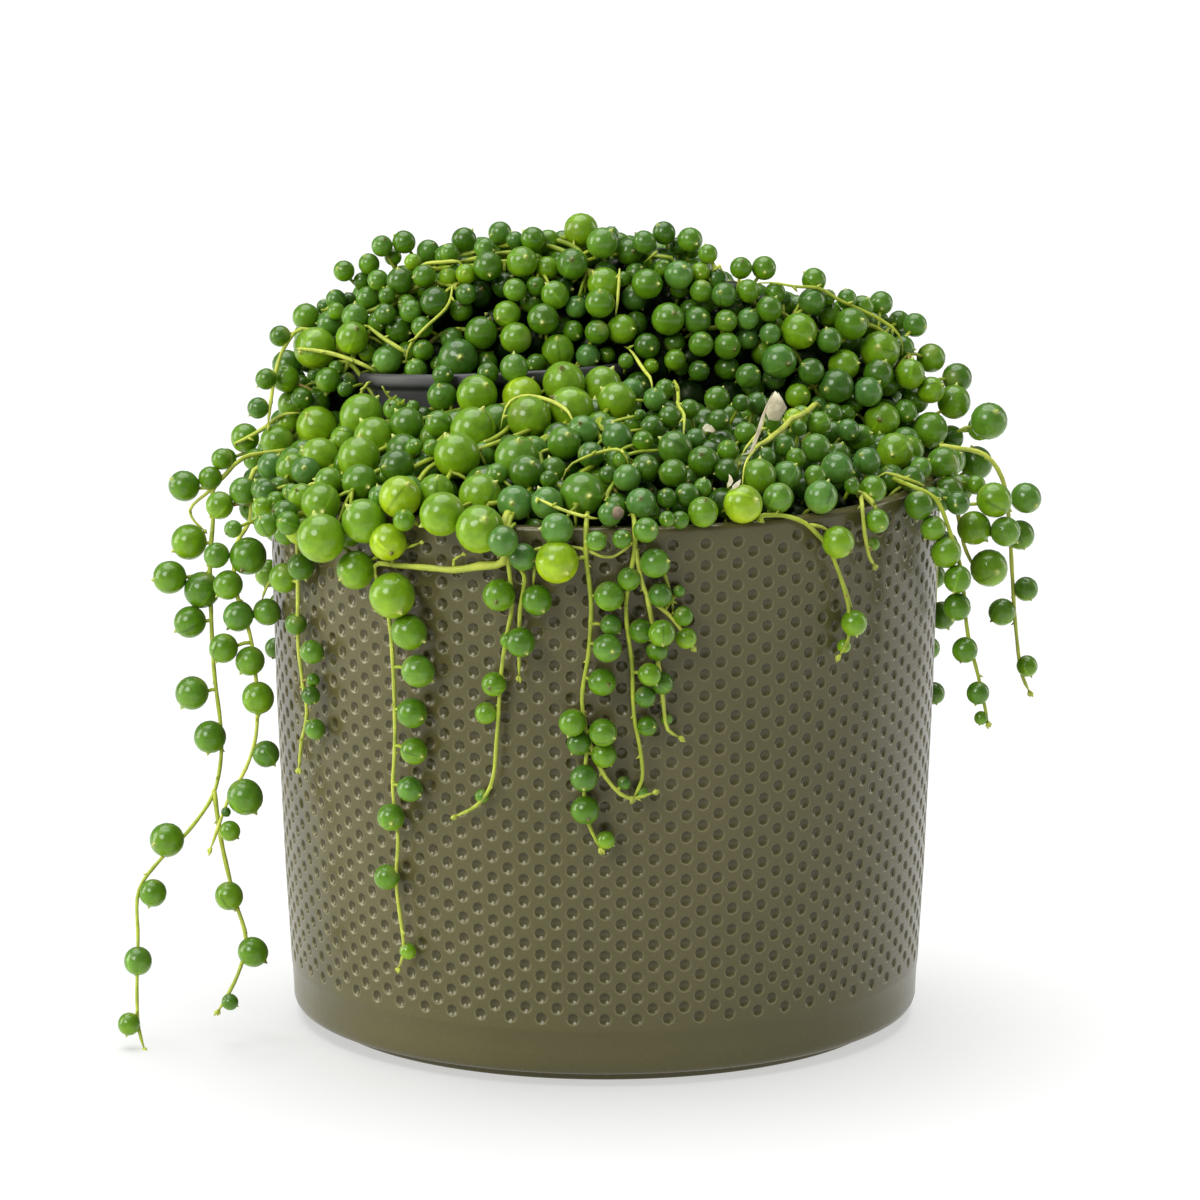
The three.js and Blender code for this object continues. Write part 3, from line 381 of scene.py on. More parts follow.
def pearl_profile(rings):
    """Shares of a pearl's radius, outward and along its axis, from the stalk to the tip."""
    profile = []
    for i in range(1, rings):
        angle = math.pi * i / rings
        profile.append((math.sin(angle), -math.cos(angle)))
    profile[-1] = (profile[-1][0] * 0.86, profile[-1][1] - 0.005)
    profile += [(0.14, 0.99), (0.08, 1.07), (0.05, 1.15)]
    return profile


def add_pearl(mesh, centre, radius, axis, look, fine, draw, mat=PEARL):
    """A pearl whose small pointed tip looks along the axis."""
    sides, rings = PEARL_SIDES[fine]
    profile = pearl_profile(rings)
    side, other = frame_of(axis)
    axis = unit(axis)
    turn = 2 * math.pi * draw()
    slim = 1.0 - 0.035 * draw()
    bump = 0.012 * draw()
    angles = turn + spokes_of(sides)
    verts = [centre - axis * radius]
    for out, along in profile:
        swell = 1 + bump * np.cos(2 * angles + 3 * along)
        around = np.outer(np.cos(angles) * swell, side) + np.outer(np.sin(angles) * swell, other)
        verts.extend(centre + radius * (along * axis + out * slim * around))
    tip = len(verts)
    verts.append(centre + axis * radius * TIP_LENGTH)
    heights = [0.0] + [(1 + along) / 2.2 for _, along in profile] + [1.0]
    faces, corners_of = skin([[0]] + ring_numbers(1, len(profile), sides) + [[tip]])
    uvs = [(column / sides, heights[ring]) for corners in corners_of for column, ring in corners]
    mesh.add(verts, faces, mat, look, uvs)


BLADE_SIDES = 8


def add_blade(mesh, line, width, flat, mat, look, thick=0.16):
    """A thin pointed blade along a line; flat is the way its face looks."""
    line = smooth_line(line, 0.8)
    tangents = np.gradient(line, axis=0)
    turns = spokes_of(BLADE_SIDES)
    verts = [line[0]]
    for i in range(1, len(line) - 1):
        side = unit(np.cross(tangents[i], flat))
        face = np.cross(side, unit(tangents[i]))
        share = i / (len(line) - 1)
        half = width / 2 * math.sin(math.pi * share ** 0.8)
        cup = 0.25 * half * np.cos(turns) ** 2
        verts.extend(line[i] + np.outer(half * np.cos(turns), side)
                     + np.outer(thick / 2 * np.sin(turns) + cup, face))
    end = len(verts)
    verts.append(line[-1])
    faces, _ = skin([[0]] + ring_numbers(1, len(line) - 2, BLADE_SIDES) + [[end]])
    mesh.add(verts, faces, mat, look)


def add_bud(mesh, end, way, draw, size=1.0):
    """The tuft of tiny young leaves at the end of a string."""
    side, other = frame_of(way)
    for k in range(3):
        turn = 2 * math.pi * (k / 3 + 0.2 * draw())
        out = side * math.cos(turn) + other * math.sin(turn)
        tip = end + (unit(way) * (1.3 + 0.8 * draw()) + out * 0.3) * size
        middle = (end + tip) / 2 + out * 0.3 * size
        add_tube(mesh, [end, middle, tip], [0.4 * size, 0.52 * size, 0.1 * size], STEM,
                 (0.8, 0, draw()), 6)


def nearest_on(line, place):
    """The nearest place on a line of points, and its index."""
    a, b = line[:-1], line[1:]
    d = b - a
    t = np.clip(((place - a) * d).sum(1) / np.maximum((d * d).sum(1), 1e-9), 0, 1)
    near = a + d * t[:, None]
    i = int(np.argmin(((near - place) ** 2).sum(1)))
    return near[i], i


def add_stalk(mesh, start, centre, radius, look, thick=0.42):
    """A short curved stalk from a stem to a pearl's surface."""
    reach = centre - start
    end = centre - unit(reach) * radius * 0.94
    if np.linalg.norm(end - start) < 0.5:
        return
    middle = (start + end) / 2 + np.array([0, 0, 0.25]) * min(2.0, np.linalg.norm(reach) / 6)
    line = smooth_line([start, middle, end], 1.6)
    add_tube(mesh, line, np.linspace(thick * 1.15, thick, len(line)), STEM, look, 5)


def add_nodes(mesh, line, draw, every=9.0, size=1.0):
    """Small pale bracts on the nodes of a stem."""
    length = np.cumsum(np.linalg.norm(np.diff(line, axis=0), axis=1))
    at = every * draw()
    while at < length[-1] - 2:
        i = int(np.searchsorted(length, at))
        along = unit(line[i + 1] - line[i])
        side, other = frame_of(along)
        turn = 2 * math.pi * draw()
        out = unit(side * math.cos(turn) + other * math.sin(turn) + along * 0.7)
        start = line[i]
        tip = start + out * (1.5 + 0.9 * draw()) * size
        add_tube(mesh, [start, (start + tip) / 2, tip], [0.5 * size, 0.42 * size, 0.12 * size], STEM,
                 (0.55 + 0.3 * draw(), draw(), draw()), 5)
        at += every * (0.6 + 0.9 * draw())


# ---------------------------------------------------------------- hanging strings
# Each run is a stem's path in the view, and its pearls: (u, v, radius) and, where it shows,
# the point (u, v) of the pearl's tip. depths: y at the top and at the bottom of a string that hangs
# beside the pot. root: places between the bunch and the path. more: thin stems beside it.

STRINGS = {
    "string_left_outer": dict(
        root=[(-74, 2, 133)], depths=(-2, -40), runs=[
            ([(243, 458), (226, 474), (213, 490), (213, 520), (210, 560), (211, 610), (214, 670), (221, 730),
              (221, 758), (213, 795), (185, 835), (160, 860), (139, 890), (138, 940), (137, 1000),
              (139, 1030), (144, 1048)],
             [(222, 459, 11), (212, 478, 12), (193, 486, 16, 179, 478), (189, 542, 18, 172, 552),
              (187, 577, 17, 169, 580), (202, 590, 18.5), (190, 622, 16.5, 173, 633),
              (192, 693, 17, 180, 710), (210, 737, 16.5, 208, 755), (167, 840, 17.5, 153, 845),
              (153, 893, 14, 148, 910), (138, 961, 14.5, 136, 980), (129, 1024, 11.5, 126, 1039)]),
            ([(214, 790), (218, 820), (223, 850), (235, 900), (246, 940), (238, 974), (226, 998),
              (219, 1010)],
             [(229, 896, 14.5, 237, 915), (253, 952, 15.5, 268, 964), (230, 1002, 8.5, 241, 1008)])],
        more=[[(213, 488), (190, 510), (195, 522), (204, 530)]]),
    "string_left_inner": dict(
        root=[(-74, -12, 133.3), (-81, -15.5, 131.5)], depths=(-17, -30), runs=[
            ([(250, 520), (236, 545), (236, 590), (250, 635), (256, 680), (256, 735), (246, 768), (228, 800),
              (220, 822), (211, 848)],
             [(229, 505, 14), (243, 491, 14), (225, 555, 13), (248, 556, 19, 242, 572), (228, 585, 15),
              (242, 616, 15.5), (267, 612, 14), (228, 648, 15), (250, 661, 15), (258, 698, 16.5, 259, 717),
              (266, 754, 13.5, 276, 767), (245, 797, 18.5, 257, 815), (230, 831, 10.5, 239, 839),
              (226, 812, 5)])],
        more=[[(286, 566), (275, 575), (266, 588), (262, 600)]]),
    "string_left_arch": dict(
        root=[(-61, 20, 153)], depths=(19, 8), runs=[
            ([(301, 329), (284, 348), (276, 371), (271, 400), (268, 424)],
             [(280, 336, 11), (266, 379, 11), (258, 408, 11)])]),
    "string_front_left": dict(runs=[
        ([(298, 562), (298, 590), (298, 640), (303, 685), (307, 712), (301, 745), (299, 768)],
         [(301, 567, 13.5), (284, 578, 15), (296, 624, 11), (312, 652, 12, 325, 658), (313, 680, 7),
          (314, 695, 9.5), (315, 729, 10.5)])]),
    "string_front_runner": dict(runs=[
        ([(503, 562), (480, 566), (455, 570), (430, 568), (402, 566), (375, 566), (388, 612), (393, 665),
          (395, 740), (393, 790), (398, 840), (396, 880), (402, 930), (404, 950), (399, 968)],
         [(388, 542, 18.5), (356, 570, 19, 340, 580), (394, 595, 22.5), (409, 632, 18, 425, 642),
          (418, 671, 16.5, 434, 682), (412, 713, 15, 423, 719), (414, 751, 13.5, 423, 757),
          (410, 789, 13, 421, 795), (391, 817, 14, 392, 824), (387, 877, 13), (408, 951, 8.5)])],
        more=[[(372, 560), (380, 556), (400, 550), (420, 543)], [(455, 570), (454, 560), (462, 555)]]),
    "string_front_centre": dict(runs=[
        ([(508, 556), (512, 605), (506, 640), (501, 675), (497, 735), (491, 785), (476, 806), (456, 816)],
         [(499, 595, 16, 496, 603), (494, 684, 12.5, 489, 689), (486, 713, 11), (482, 796, 7)]),
        ([(508, 556), (524, 575), (520, 610), (519, 676)],
         [(523, 557, 13.5), (537, 600, 15, 544, 612), (523, 640, 14.5, 530, 652), (509, 640, 9)])],
        more=[[(535, 562), (533, 588)],
              [(530, 552), (545, 547), (560, 546), (583, 549), (600, 556), (612, 557), (620, 553),
               (631, 545)]]),
    "string_front_right": dict(runs=[
        ([(586, 556), (591, 600), (589, 650), (582, 700), (587, 738), (584, 790), (588, 822), (600, 848)],
         [(557, 562, 21, 568, 574), (609, 596, 14.5), (611, 625, 10.5), (607, 646, 14, 613, 650),
          (602, 682, 14, 609, 685), (573, 721, 13.5), (603, 731, 14, 615, 737), (579, 743, 12),
          (604, 755, 12.5), (584, 778, 13.5, 584, 790), (585, 810, 14, 589, 820), (606, 840, 9, 617, 848)]),
        ([(587, 738), (606, 778), (628, 798), (653, 793)], [(624, 783, 7)])]),
    "string_right_cluster": dict(runs=[
        ([(635, 548), (626, 605), (632, 665), (634, 715), (641, 755), (642, 780), (634, 797)],
         [(629, 579, 11.5), (641, 631, 12), (648, 672, 11.5), (645, 697, 10.5), (647, 726, 10, 655, 727),
          (642, 792, 6.5)]),
        ([(635, 548), (647, 595), (668, 614), (684, 634), (692, 646)],
         [(655, 563, 15, 669, 561), (660, 595, 12), (683, 616, 10), (686, 638, 10.5, 694, 648),
          (679, 591, 6)]),
        ([(647, 595), (655, 640), (663, 700), (668, 730), (679, 737)],
         [(660, 630, 13), (657, 650, 11), (662, 683, 11), (667, 719, 6)])],
        more=[[(664, 572), (668, 585), (672, 600), (673, 612)]]),
    "string_right_arch": dict(runs=[
        ([(757, 517), (775, 515), (790, 517), (805, 523), (815, 532), (828, 547), (836, 565), (843, 585),
          (849, 612), (848, 640), (840, 655)],
         [(838, 542, 16, 852, 552), (854, 623, 13, 857, 637), (844, 646, 7, 839, 656)])],
        more=[[(810, 525), (822, 527), (836, 537)], [(836, 565), (846, 590), (853, 613)]]),
    "string_right_short": dict(runs=[
        ([(862, 495), (862, 505), (865, 535), (869, 556), (874, 565)],
         [(877, 521, 12, 882, 528), (873, 544, 6.5)])]),
    "string_right_inner": dict(
        root=[(66, -34, 133)], depths=(-40, -41), runs=[
            ([(916, 488), (935, 498), (950, 532), (961, 570), (968, 635), (978, 675), (988, 722)],
             [(919, 505, 15), (931, 528, 12.5), (941, 552, 15.5), (947, 578, 14), (957, 607, 14, 952, 621),
              (965, 650, 13, 960, 663), (978, 693, 11.5, 975, 707), (981, 718, 7, 979, 728)])]),
    "string_right_middle": dict(
        root=[(75, -14, 133)], depths=(-17, -19), runs=[
            ([(948, 482), (958, 515), (964, 545), (974, 568)],
             [(947, 490, 14), (993, 500, 18), (974, 528, 17), (991, 531, 15), (989, 568, 19, 997, 573)])]),
    "string_right_outer": dict(
        root=[(78, 3, 134)], depths=(3, 5), runs=[
            ([(985, 455), (1002, 478), (1009, 520), (1012, 570), (1016, 630), (1022, 675), (1029, 691)],
             [(1026, 498, 16, 1037, 507), (1020, 535, 15, 1024, 550), (1026, 589, 12.5, 1031, 601),
              (1002, 612, 14, 990, 622), (1027, 666, 11, 1032, 678)])]),
}
BACK_STRINGS = [(15, 62), (34, 92), (52, 46), (70, 80), (89, 100), (107, 54), (126, 76), (145, 90), (164, 50)]


# Radius and height of the places where a string comes over the rim.
OVER_RIM = ((72.5, 132.7), (77.5, 132.6), (80.6, 130.4))


def root_of(plan, start):
    """The places between a string's bunch and the start of its path."""
    if "root" in plan:
        return [np.array(p, float) for p in plan["root"]]
    turn = math.atan2(start[1], start[0])
    return [polar(r, turn, z) for r, z in OVER_RIM]


# The share of a pearl's radius at which the view shows its tip.
TIP_SEEN_AT = 1.15


def tip_axis(u, v, radius, tip):
    """The direction of a pearl's tip, from where the view shows its middle and its tip."""
    across = np.array([(tip[0] - u) / radius, -(tip[1] - v) / radius]) / TIP_SEEN_AT
    size = float(np.hypot(*across))
    if size > 1:
        across = across / size
        size = 1.0
    deep = -math.sqrt(max(0.0, 1 - size * size))
    return unit(RIGHT * across[0] + UP * across[1] + FORWARD * deep)


def seen_string(plan):
    """The runs of a string that the view shows: the line of each, and its pearls."""
    heights = [v for path, _ in plan["runs"] for _, v in path]
    top, bottom = min(heights), max(heights)

    def place(u, v, offset):
        if "depths" not in plan:
            return place_on_wall(u, v, offset)
        t = max(0.0, (v - top) / (bottom - top))
        return place_at_depth(u, v, lerp(*plan["depths"], t))

    runs = []
    for i, (path, pearls) in enumerate(plan["runs"]):
        line = [place(u, v, STEM_OFF_WALL) for u, v in path]
        if i == 0:
            line = root_of(plan, line[0]) + line
        made = []
        for pearl in pearls:
            u, v, size = pearl[:3]
            radius = size * MM_PER_UNIT
            centre = place(u, v, radius * PEARL_SWELL + GAP)
            axis = tip_axis(u, v, size, pearl[3:5]) if len(pearl) > 3 else None
            made.append([centre, radius, axis])
        runs.append([smooth_line(line, 2.2), made])
    for path in plan.get("more", ()):
        runs.append([smooth_line([place(u, v, 2.4) for u, v in path], 2.0), []])
    return runs


BACK_STRING_TOP = 129.0
BACK_STEM_SHARES = (0, 0.2, 0.4, 0.6, 0.8, 1)
BACK_PEARL_STEP = 9.6


def back_string(degrees, length, draw):
    """A string that hangs down the far side, with its pearls left and right in turn."""
    wander = (draw() - 0.5) * 5

    def at(share, offset, aside):
        z = BACK_STRING_TOP - length * share
        turn = math.radians(degrees) + (wander * math.sin(4 * share) + aside) / RIM_RADIUS
        out = outer_radius(z) + offset
        return polar(out, turn, z)

    line = [at(share, STEM_OFF_WALL, 0) for share in BACK_STEM_SHARES]
    line = root_of({}, line[0]) + line
    pearls = []
    count = int(length / BACK_PEARL_STEP) + 1
    for i in range(count):
        share = (i + 0.3 * draw()) / (count - 0.4)
        radius = lerp(4.1, 2.6, share) * (0.9 + 0.2 * draw())
        side = (1 if i % 2 else -1) * (radius + 0.6)
        pearls.append([at(share, radius * PEARL_SWELL + GAP, side), radius, None])
    return [[smooth_line(line, 2.2), pearls]]


# The middle line of the outer pot's wall, from the rim down to the foot.
WALL_LINE = np.array([(outer_radius(z) - POT_WALL / 2, z) for z in (128.2, 77, 35.4, 3.9)])
WALL_CLEARANCE = 0.05


def from_wall(place):
    """The room between a place and the outer pot's wall, and the direction away from it."""
    at = np.array([math.hypot(place[0], place[1]), place[2]])
    near, _ = nearest_on(WALL_LINE, at)
    gap = at - near
    room = float(np.hypot(*gap)) - POT_WALL / 2
    flat = unit(np.array([place[0], place[1], 0.0]))
    return room, unit(flat * gap[0] + np.array([0, 0, 1.0]) * gap[1])


def clear_of_wall(centre, radius):
    """Moves a pearl away from the outer pot's wall until it no longer cuts it."""
    for _ in range(6):
        room, away = from_wall(centre)
        if room >= radius + WALL_CLEARANCE:
            break
        centre = centre + away * (radius + 0.06 - room)
    return centre


def settle_strings(strings):
    """Pearls of the strings that touch the pot or each other are moved out a little."""
    every = [pearl for runs in strings.values() for _, pearls in runs for pearl in pearls]
    for _ in range(12):
        for pearl in every:
            pearl[0] = clear_of_wall(pearl[0], pearl[1])
        for i, a in enumerate(every):
            for b in every[i + 1:]:
                apart = b[0] - a[0]
                need = 0.97 * (a[1] + b[1])
                gap = float(np.linalg.norm(apart))
                if gap < need:
                    out = np.array([a[0][0], a[0][1], 0.0])
                    push = unit(out) * (need - gap) * 0.7
                    if (b[0] - a[0]) @ out > 0:
                        b[0] = b[0] + push
                    else:
                        a[0] = a[0] + push


back_draw = make_draw(11)
strings = {name: seen_string(plan) for name, plan in STRINGS.items()}
for number, (degrees, length) in enumerate(BACK_STRINGS, 1):
    strings[f"string_back_{number}"] = back_string(degrees, length, back_draw)
settle_strings(strings)

# ---------------------------------------------------------------- the mat and the crown
# Pearls seen on the plant: (u, v, radius). The source has the same list without the last one.

SEEN_PEARLS = [
    (315, 348, 22), (306, 317, 14), (352, 338, 17), (355, 317, 14), (344, 271, 11), (369, 264, 11),
    (382, 246, 11), (404, 242, 12), (428, 251, 12), (464, 240, 13), (500, 233, 12), (533, 239, 12.5),
    (581, 230, 17.4), (602, 243, 16), (572, 264, 16), (522, 262, 16), (488, 266, 15), (400, 281, 14),
    (378, 280, 11), (435, 302, 15.5), (604, 284, 17), (600, 303, 15), (555, 295, 14.5), (543, 319, 16),
    (481, 333, 17), (516, 338, 16), (458, 358, 20), (558, 351, 17), (387, 360, 15), (416, 369, 11),
    (423, 350, 11),
    (362, 416, 23), (317, 427, 22), (374, 437, 20), (407, 424, 17), (439, 424, 14), (477, 395, 21),
    (442, 396, 15), (473, 430, 23), (522, 396, 20), (564, 383, 22), (571, 409, 23), (529, 418, 22),
    (602, 386, 20), (617, 402, 20), (457, 456, 23), (517, 458, 22), (526, 472, 17), (397, 466, 17),
    (359, 458, 22), (320, 456, 19), (360, 482, 18), (400, 497, 21), (442, 514, 22), (364, 521, 22),
    (321, 503, 20), (321, 538, 24), (480, 529, 24), (515, 503, 18), (582, 494, 22), (547, 503, 16),
    (557, 529, 16), (503, 541, 15), (245, 438, 15), (277, 441, 17), (226, 459, 11), (266, 525, 12),
    (271, 466, 14), (641, 503, 15),
    (644, 242, 12), (664, 233, 12), (690, 240, 13), (708, 254, 10), (741, 268, 11.5), (764, 268, 12.5),
    (814, 280, 12.5), (812, 301, 14), (881, 303, 12.5), (915, 325, 12.5), (931, 358, 15), (957, 378, 15.5),
    (954, 402, 17.5), (989, 421, 19), (980, 428, 13), (930, 430, 18.5), (976, 463, 17.5), (943, 463, 16.5),
    (851, 324, 17), (799, 331, 19), (779, 361, 18), (829, 340, 13), (880, 351, 21), (844, 365, 16),
    (878, 374, 15.5), (910, 374, 15.5), (931, 390, 14), (868, 392, 15), (811, 371, 13.5), (769, 309, 13.5),
    (724, 295, 13), (679, 275, 15), (647, 284, 16), (668, 319, 17), (697, 320, 14), (701, 344, 13),
    (727, 346, 14), (675, 360, 11), (699, 371, 11), (748, 376, 13), (717, 399, 13), (655, 399, 12),
    (670, 417, 11.5), (689, 409, 10), (675, 448, 17), (703, 461, 15), (673, 473, 14), (703, 512, 15),
    (743, 504, 19), (778, 498, 15), (759, 476, 17), (821, 497, 16.5), (837, 468, 16), (816, 448, 14.5),
    (819, 423, 12), (882, 420, 18.5), (895, 451, 18.5), (867, 461, 14), (798, 396, 13), (746, 433, 11.5),
    (836, 386, 18), (728, 451, 11), (873, 489, 13.5), (912, 479, 13),
]
# Pearls that show between and behind those.
BEHIND_PEARLS = [
    (255, 460, 12), (292, 469, 17), (306, 471, 14.5), (266, 491, 11), (262, 507, 10), (285, 513, 13),
    (288, 523, 12), (302, 497, 14), (300, 529, 16), (233, 529, 9), (288, 423, 12), (302, 398, 11),
    (317, 402, 14), (341, 441, 11), (414, 447, 9), (432, 448, 9), (428, 467, 16), (436, 492, 18),
    (399, 512, 9.5), (404, 520, 11), (419, 398, 9), (413, 407, 7), (444, 408, 12), (387, 427, 5),
    (480, 495, 21), (483, 455, 13), (497, 474, 11), (533, 452, 16), (564, 443, 17), (583, 431, 16),
    (591, 455, 13), (617, 438, 15.5), (643, 441, 10.5), (652, 427, 11.5), (645, 468, 14), (627, 478, 13.5),
    (608, 475, 9.5), (621, 459, 9), (592, 487, 21), (553, 470, 13), (549, 479, 9), (535, 533, 14),
    (577, 534, 9), (596, 541, 10), (608, 534, 10.5), (622, 539, 9.5), (646, 530, 12.5), (610, 514, 12),
    (650, 512, 10), (667, 498, 10), (687, 495, 12), (667, 519, 8), (680, 520, 9), (696, 438, 10),
    (665, 389, 10), (632, 390, 12), (640, 415, 6), (633, 424, 9), (488, 373, 11), (514, 368, 14.5),
    (536, 363, 10), (362, 281, 9), (393, 257, 9), (413, 262, 9), (449, 253, 10), (485, 248, 11),
    (515, 240, 9), (548, 241, 12), (547, 268, 12), (466, 274, 11), (448, 277, 10), (424, 276, 12),
    (425, 287, 12), (466, 294, 11), (461, 310, 12), (515, 290, 12), (536, 286, 10), (532, 302, 12),
    (507, 314, 14), (336, 300, 11), (336, 311, 9), (368, 298, 12.5), (349, 301, 9), (387, 296, 9),
    (411, 311, 12), (385, 314, 11), (377, 322, 10), (399, 329, 14), (422, 327, 11), (452, 339, 12),
    (438, 364, 8), (443, 375, 11), (324, 307, 8), (325, 365, 12), (328, 380, 13), (313, 375, 6),
    (345, 389, 8), (367, 353, 9), (392, 376, 7), (279, 486, 10), (291, 492, 9), (276, 500, 9), (349, 338, 12),
    (369, 328, 10), (390, 347, 9), (320, 390, 9), (336, 368, 8), (352, 318, 9),
    (629, 252, 14), (611, 234, 8), (663, 268, 9),
    (678, 246, 9), (692, 251, 8), (700, 272, 10), (716, 279, 11), (701, 291, 11.5), (748, 291, 12),
    (775, 293, 11), (783, 299, 9), (623, 279, 8), (634, 298, 13.5), (679, 290, 9), (576, 307, 11.5),
    (573, 331, 11), (597, 332, 12.5), (622, 329, 15.5), (636, 323, 12), (690, 309, 10), (647, 346, 13.5),
    (675, 343, 11), (726, 321, 11.5), (733, 308, 11), (748, 319, 11), (747, 338, 12), (770, 334, 11),
    (775, 326, 10), (588, 356, 12.5), (607, 355, 9), (626, 361, 8), (651, 366, 8), (681, 368, 8),
    (727, 368, 13), (764, 352, 14), (774, 379, 12), (828, 297, 8), (847, 299, 10.5), (862, 307, 12),
    (830, 315, 12.5), (899, 321, 11), (864, 325, 14), (884, 333, 10), (902, 348, 13),
    (853, 403, 11), (863, 386, 10), (846, 414, 10), (824, 384, 10),
    (741, 403, 9), (757, 403, 11), (719, 420, 11), (905, 411, 12), (818, 406, 10), (832, 414, 11),
    (794, 418, 10), (848, 430, 11.5), (860, 438, 14), (951, 438, 13), (799, 428, 8), (764, 440, 10),
    (785, 446, 11), (766, 457, 10), (796, 458, 10), (787, 475, 14), (727, 470, 12), (815, 476, 11),
    (703, 487, 9), (958, 503, 12), (976, 485, 10), (921, 468, 11), (852, 486, 8),
]
# Those of them that hang over the grower's pot's rim.
OVER_NURSERY = {(443, 375), (488, 373), (514, 368)}
# Pearls that the view shows in a lime, a light green, a bluish or a dark green colour.
LIME = {(522, 396), (400, 497), (388, 542), (557, 562), (743, 504), (300, 529), (794, 418)}
LIGHT = {(581, 230), (315, 348), (352, 338), (362, 416), (317, 427), (374, 437), (477, 395), (473, 430),
         (564, 383), (571, 409), (529, 418), (602, 386), (617, 402), (457, 456), (359, 458), (320, 456),
         (442, 514), (364, 521), (321, 503), (321, 538), (480, 529), (799, 331), (880, 351), (844, 365),
         (910, 374), (931, 390), (895, 451), (882, 420), (356, 570), (394, 595), (686, 638), (838, 542),
         (854, 623), (606, 840), (408, 951), (844, 646), (480, 495), (592, 487), (302, 497), (288, 423),
         (262, 507), (341, 441), (436, 492), (622, 329), (700, 272), (466, 274), (448, 277), (413, 262),
         (547, 268), (507, 314), (367, 353), (775, 326), (651, 366), (798, 396), (604, 284)}
BLUE = {(387, 360), (515, 503), (779, 361), (821, 497), (641, 503), (547, 503), (557, 529), (503, 541),
        (523, 557), (271, 466), (306, 471), (399, 512), (533, 452), (583, 431), (617, 438), (627, 478),
        (696, 438), (632, 390), (325, 365), (576, 307), (588, 356), (748, 319), (747, 338), (770, 334),
        (774, 379), (848, 430), (787, 475), (610, 514), (655, 399), (679, 275), (837, 468), (867, 461),
        (868, 392)}
DARK = {(458, 358), (435, 302), (397, 466), (399, 329), (647, 346), (634, 298), (591, 455), (428, 467),
        (345, 389), (741, 403), (757, 403), (785, 446), (727, 470), (667, 498), (687, 495), (719, 420),
        (652, 427), (675, 343), (733, 308), (884, 333), (266, 491), (836, 386)}

# Stems that show on the mound: their thickness, and their paths in the view.
SEEN_STEMS = [
    (0.6, [(452, 275), (458, 292), (450, 312), (422, 327), (408, 351), (402, 362)]),
    (0.7, [(414, 267), (439, 263), (464, 260)]),
    (0.8, [(302, 349), (318, 350), (332, 352), (346, 357), (360, 362), (376, 371)]),
    (0.75, [(498, 416), (517, 404), (545, 399), (576, 418)]),
    (0.6, [(644, 254), (680, 259)]),
    (0.6, [(711, 264), (729, 268)]),
    (0.62, [(749, 277), (777, 288), (800, 294), (833, 301), (867, 312), (901, 331), (915, 351)]),
    (0.55, [(620, 262), (616, 276), (617, 290), (621, 303), (616, 318)]),
    (0.65, [(624, 343), (637, 362), (654, 382)]),
    (0.65, [(673, 374), (680, 404), (686, 433)]),
    (1.0, [(745, 478), (752, 462), (765, 446), (779, 432), (800, 418), (823, 397)]),
    (0.75, [(360, 327), (378, 337), (395, 345), (412, 354)]),
    (0.7, [(739, 454), (757, 435), (766, 413)]),
    (0.6, [(371, 378), (364, 388), (358, 398)]),
    (0.7, [(303, 326), (318, 312), (332, 306)]),
    (0.6, [(560, 470), (590, 455), (612, 452), (634, 462)]),
    (0.6, [(880, 470), (905, 478), (930, 488)]),
    (0.7, [(232, 452), (258, 432), (283, 419), (300, 405)]),
    (0.6, [(536, 498), (560, 512), (600, 520)]),
]
USUAL_SIZE = 14


def tone_of(u, v, size, draw):
    """Deep green to lime, by the pearl's size and by what the view shows; and how bluish it is."""
    key = (int(u), int(v))
    tone = 0.29 + (size - USUAL_SIZE) * 0.011 + (draw() - 0.5) * 0.34
    if key in LIME:
        tone = 0.93 + 0.05 * draw()
    elif key in LIGHT:
        tone = 0.53 + 0.15 * draw()
    elif key in DARK:
        tone = 0.06 + 0.08 * draw()
    if key in BLUE:
        blue = 0.7 + 0.3 * draw()
    else:
        blue = max(0.0, draw() - 0.45) * (0.8 if tone < 0.45 else 0.2)
    return min(max(tone, 0.05), 0.97), blue, draw()


mat_draw = make_draw(29)
MOST_PEARLS = 6000


class Pearls:
    """The pearls of the mat, in arrays that are filled as they are placed."""

    def __init__(self):
        self.at = np.zeros((MOST_PEARLS, 3))
        self.radius = np.zeros(MOST_PEARLS)
        self.spot = np.zeros((MOST_PEARLS, 3))
        self.look = [None] * MOST_PEARLS
        self.layer = np.zeros(MOST_PEARLS, int)
        self.n = 0

    def move(self, i, centre):
        self.at[i] = centre
        spot = seen_at(centre)
        self.spot[i] = [spot[0], spot[1], (centre - EYE) @ FORWARD]

    def add(self, centre, radius, look, layer=0):
        i = self.n
        self.radius[i] = radius
        self.look[i] = look
        self.layer[i] = layer
        self.move(i, centre)
        self.n += 1

    def room(self, centre, radius):
        """The least room between a place and the pearls, negative where they overlap."""
        if not self.n:
            return math.inf
        apart = np.linalg.norm(self.at[:self.n] - centre, axis=1) - self.radius[:self.n]
        return float(apart.min() - radius)


def from_nursery_wall(place):
    """How far a place is from the grower's pot's wall, which stands a little inside its rim."""
    local = in_nursery(place)
    out = math.hypot(local[0], local[1])
    if local[2] > NURSERY_HEIGHT:
        return math.hypot(out - NURSERY_RADIUS + 1, local[2] - NURSERY_HEIGHT)
    return abs(out - (NURSERY_RADIUS - 1))


# A pearl of the mat may overlap one of a string by this, and keeps this far from the grower's pot.
STRING_OVERLAP = 0.3
NURSERY_CLEARANCE = 0.9


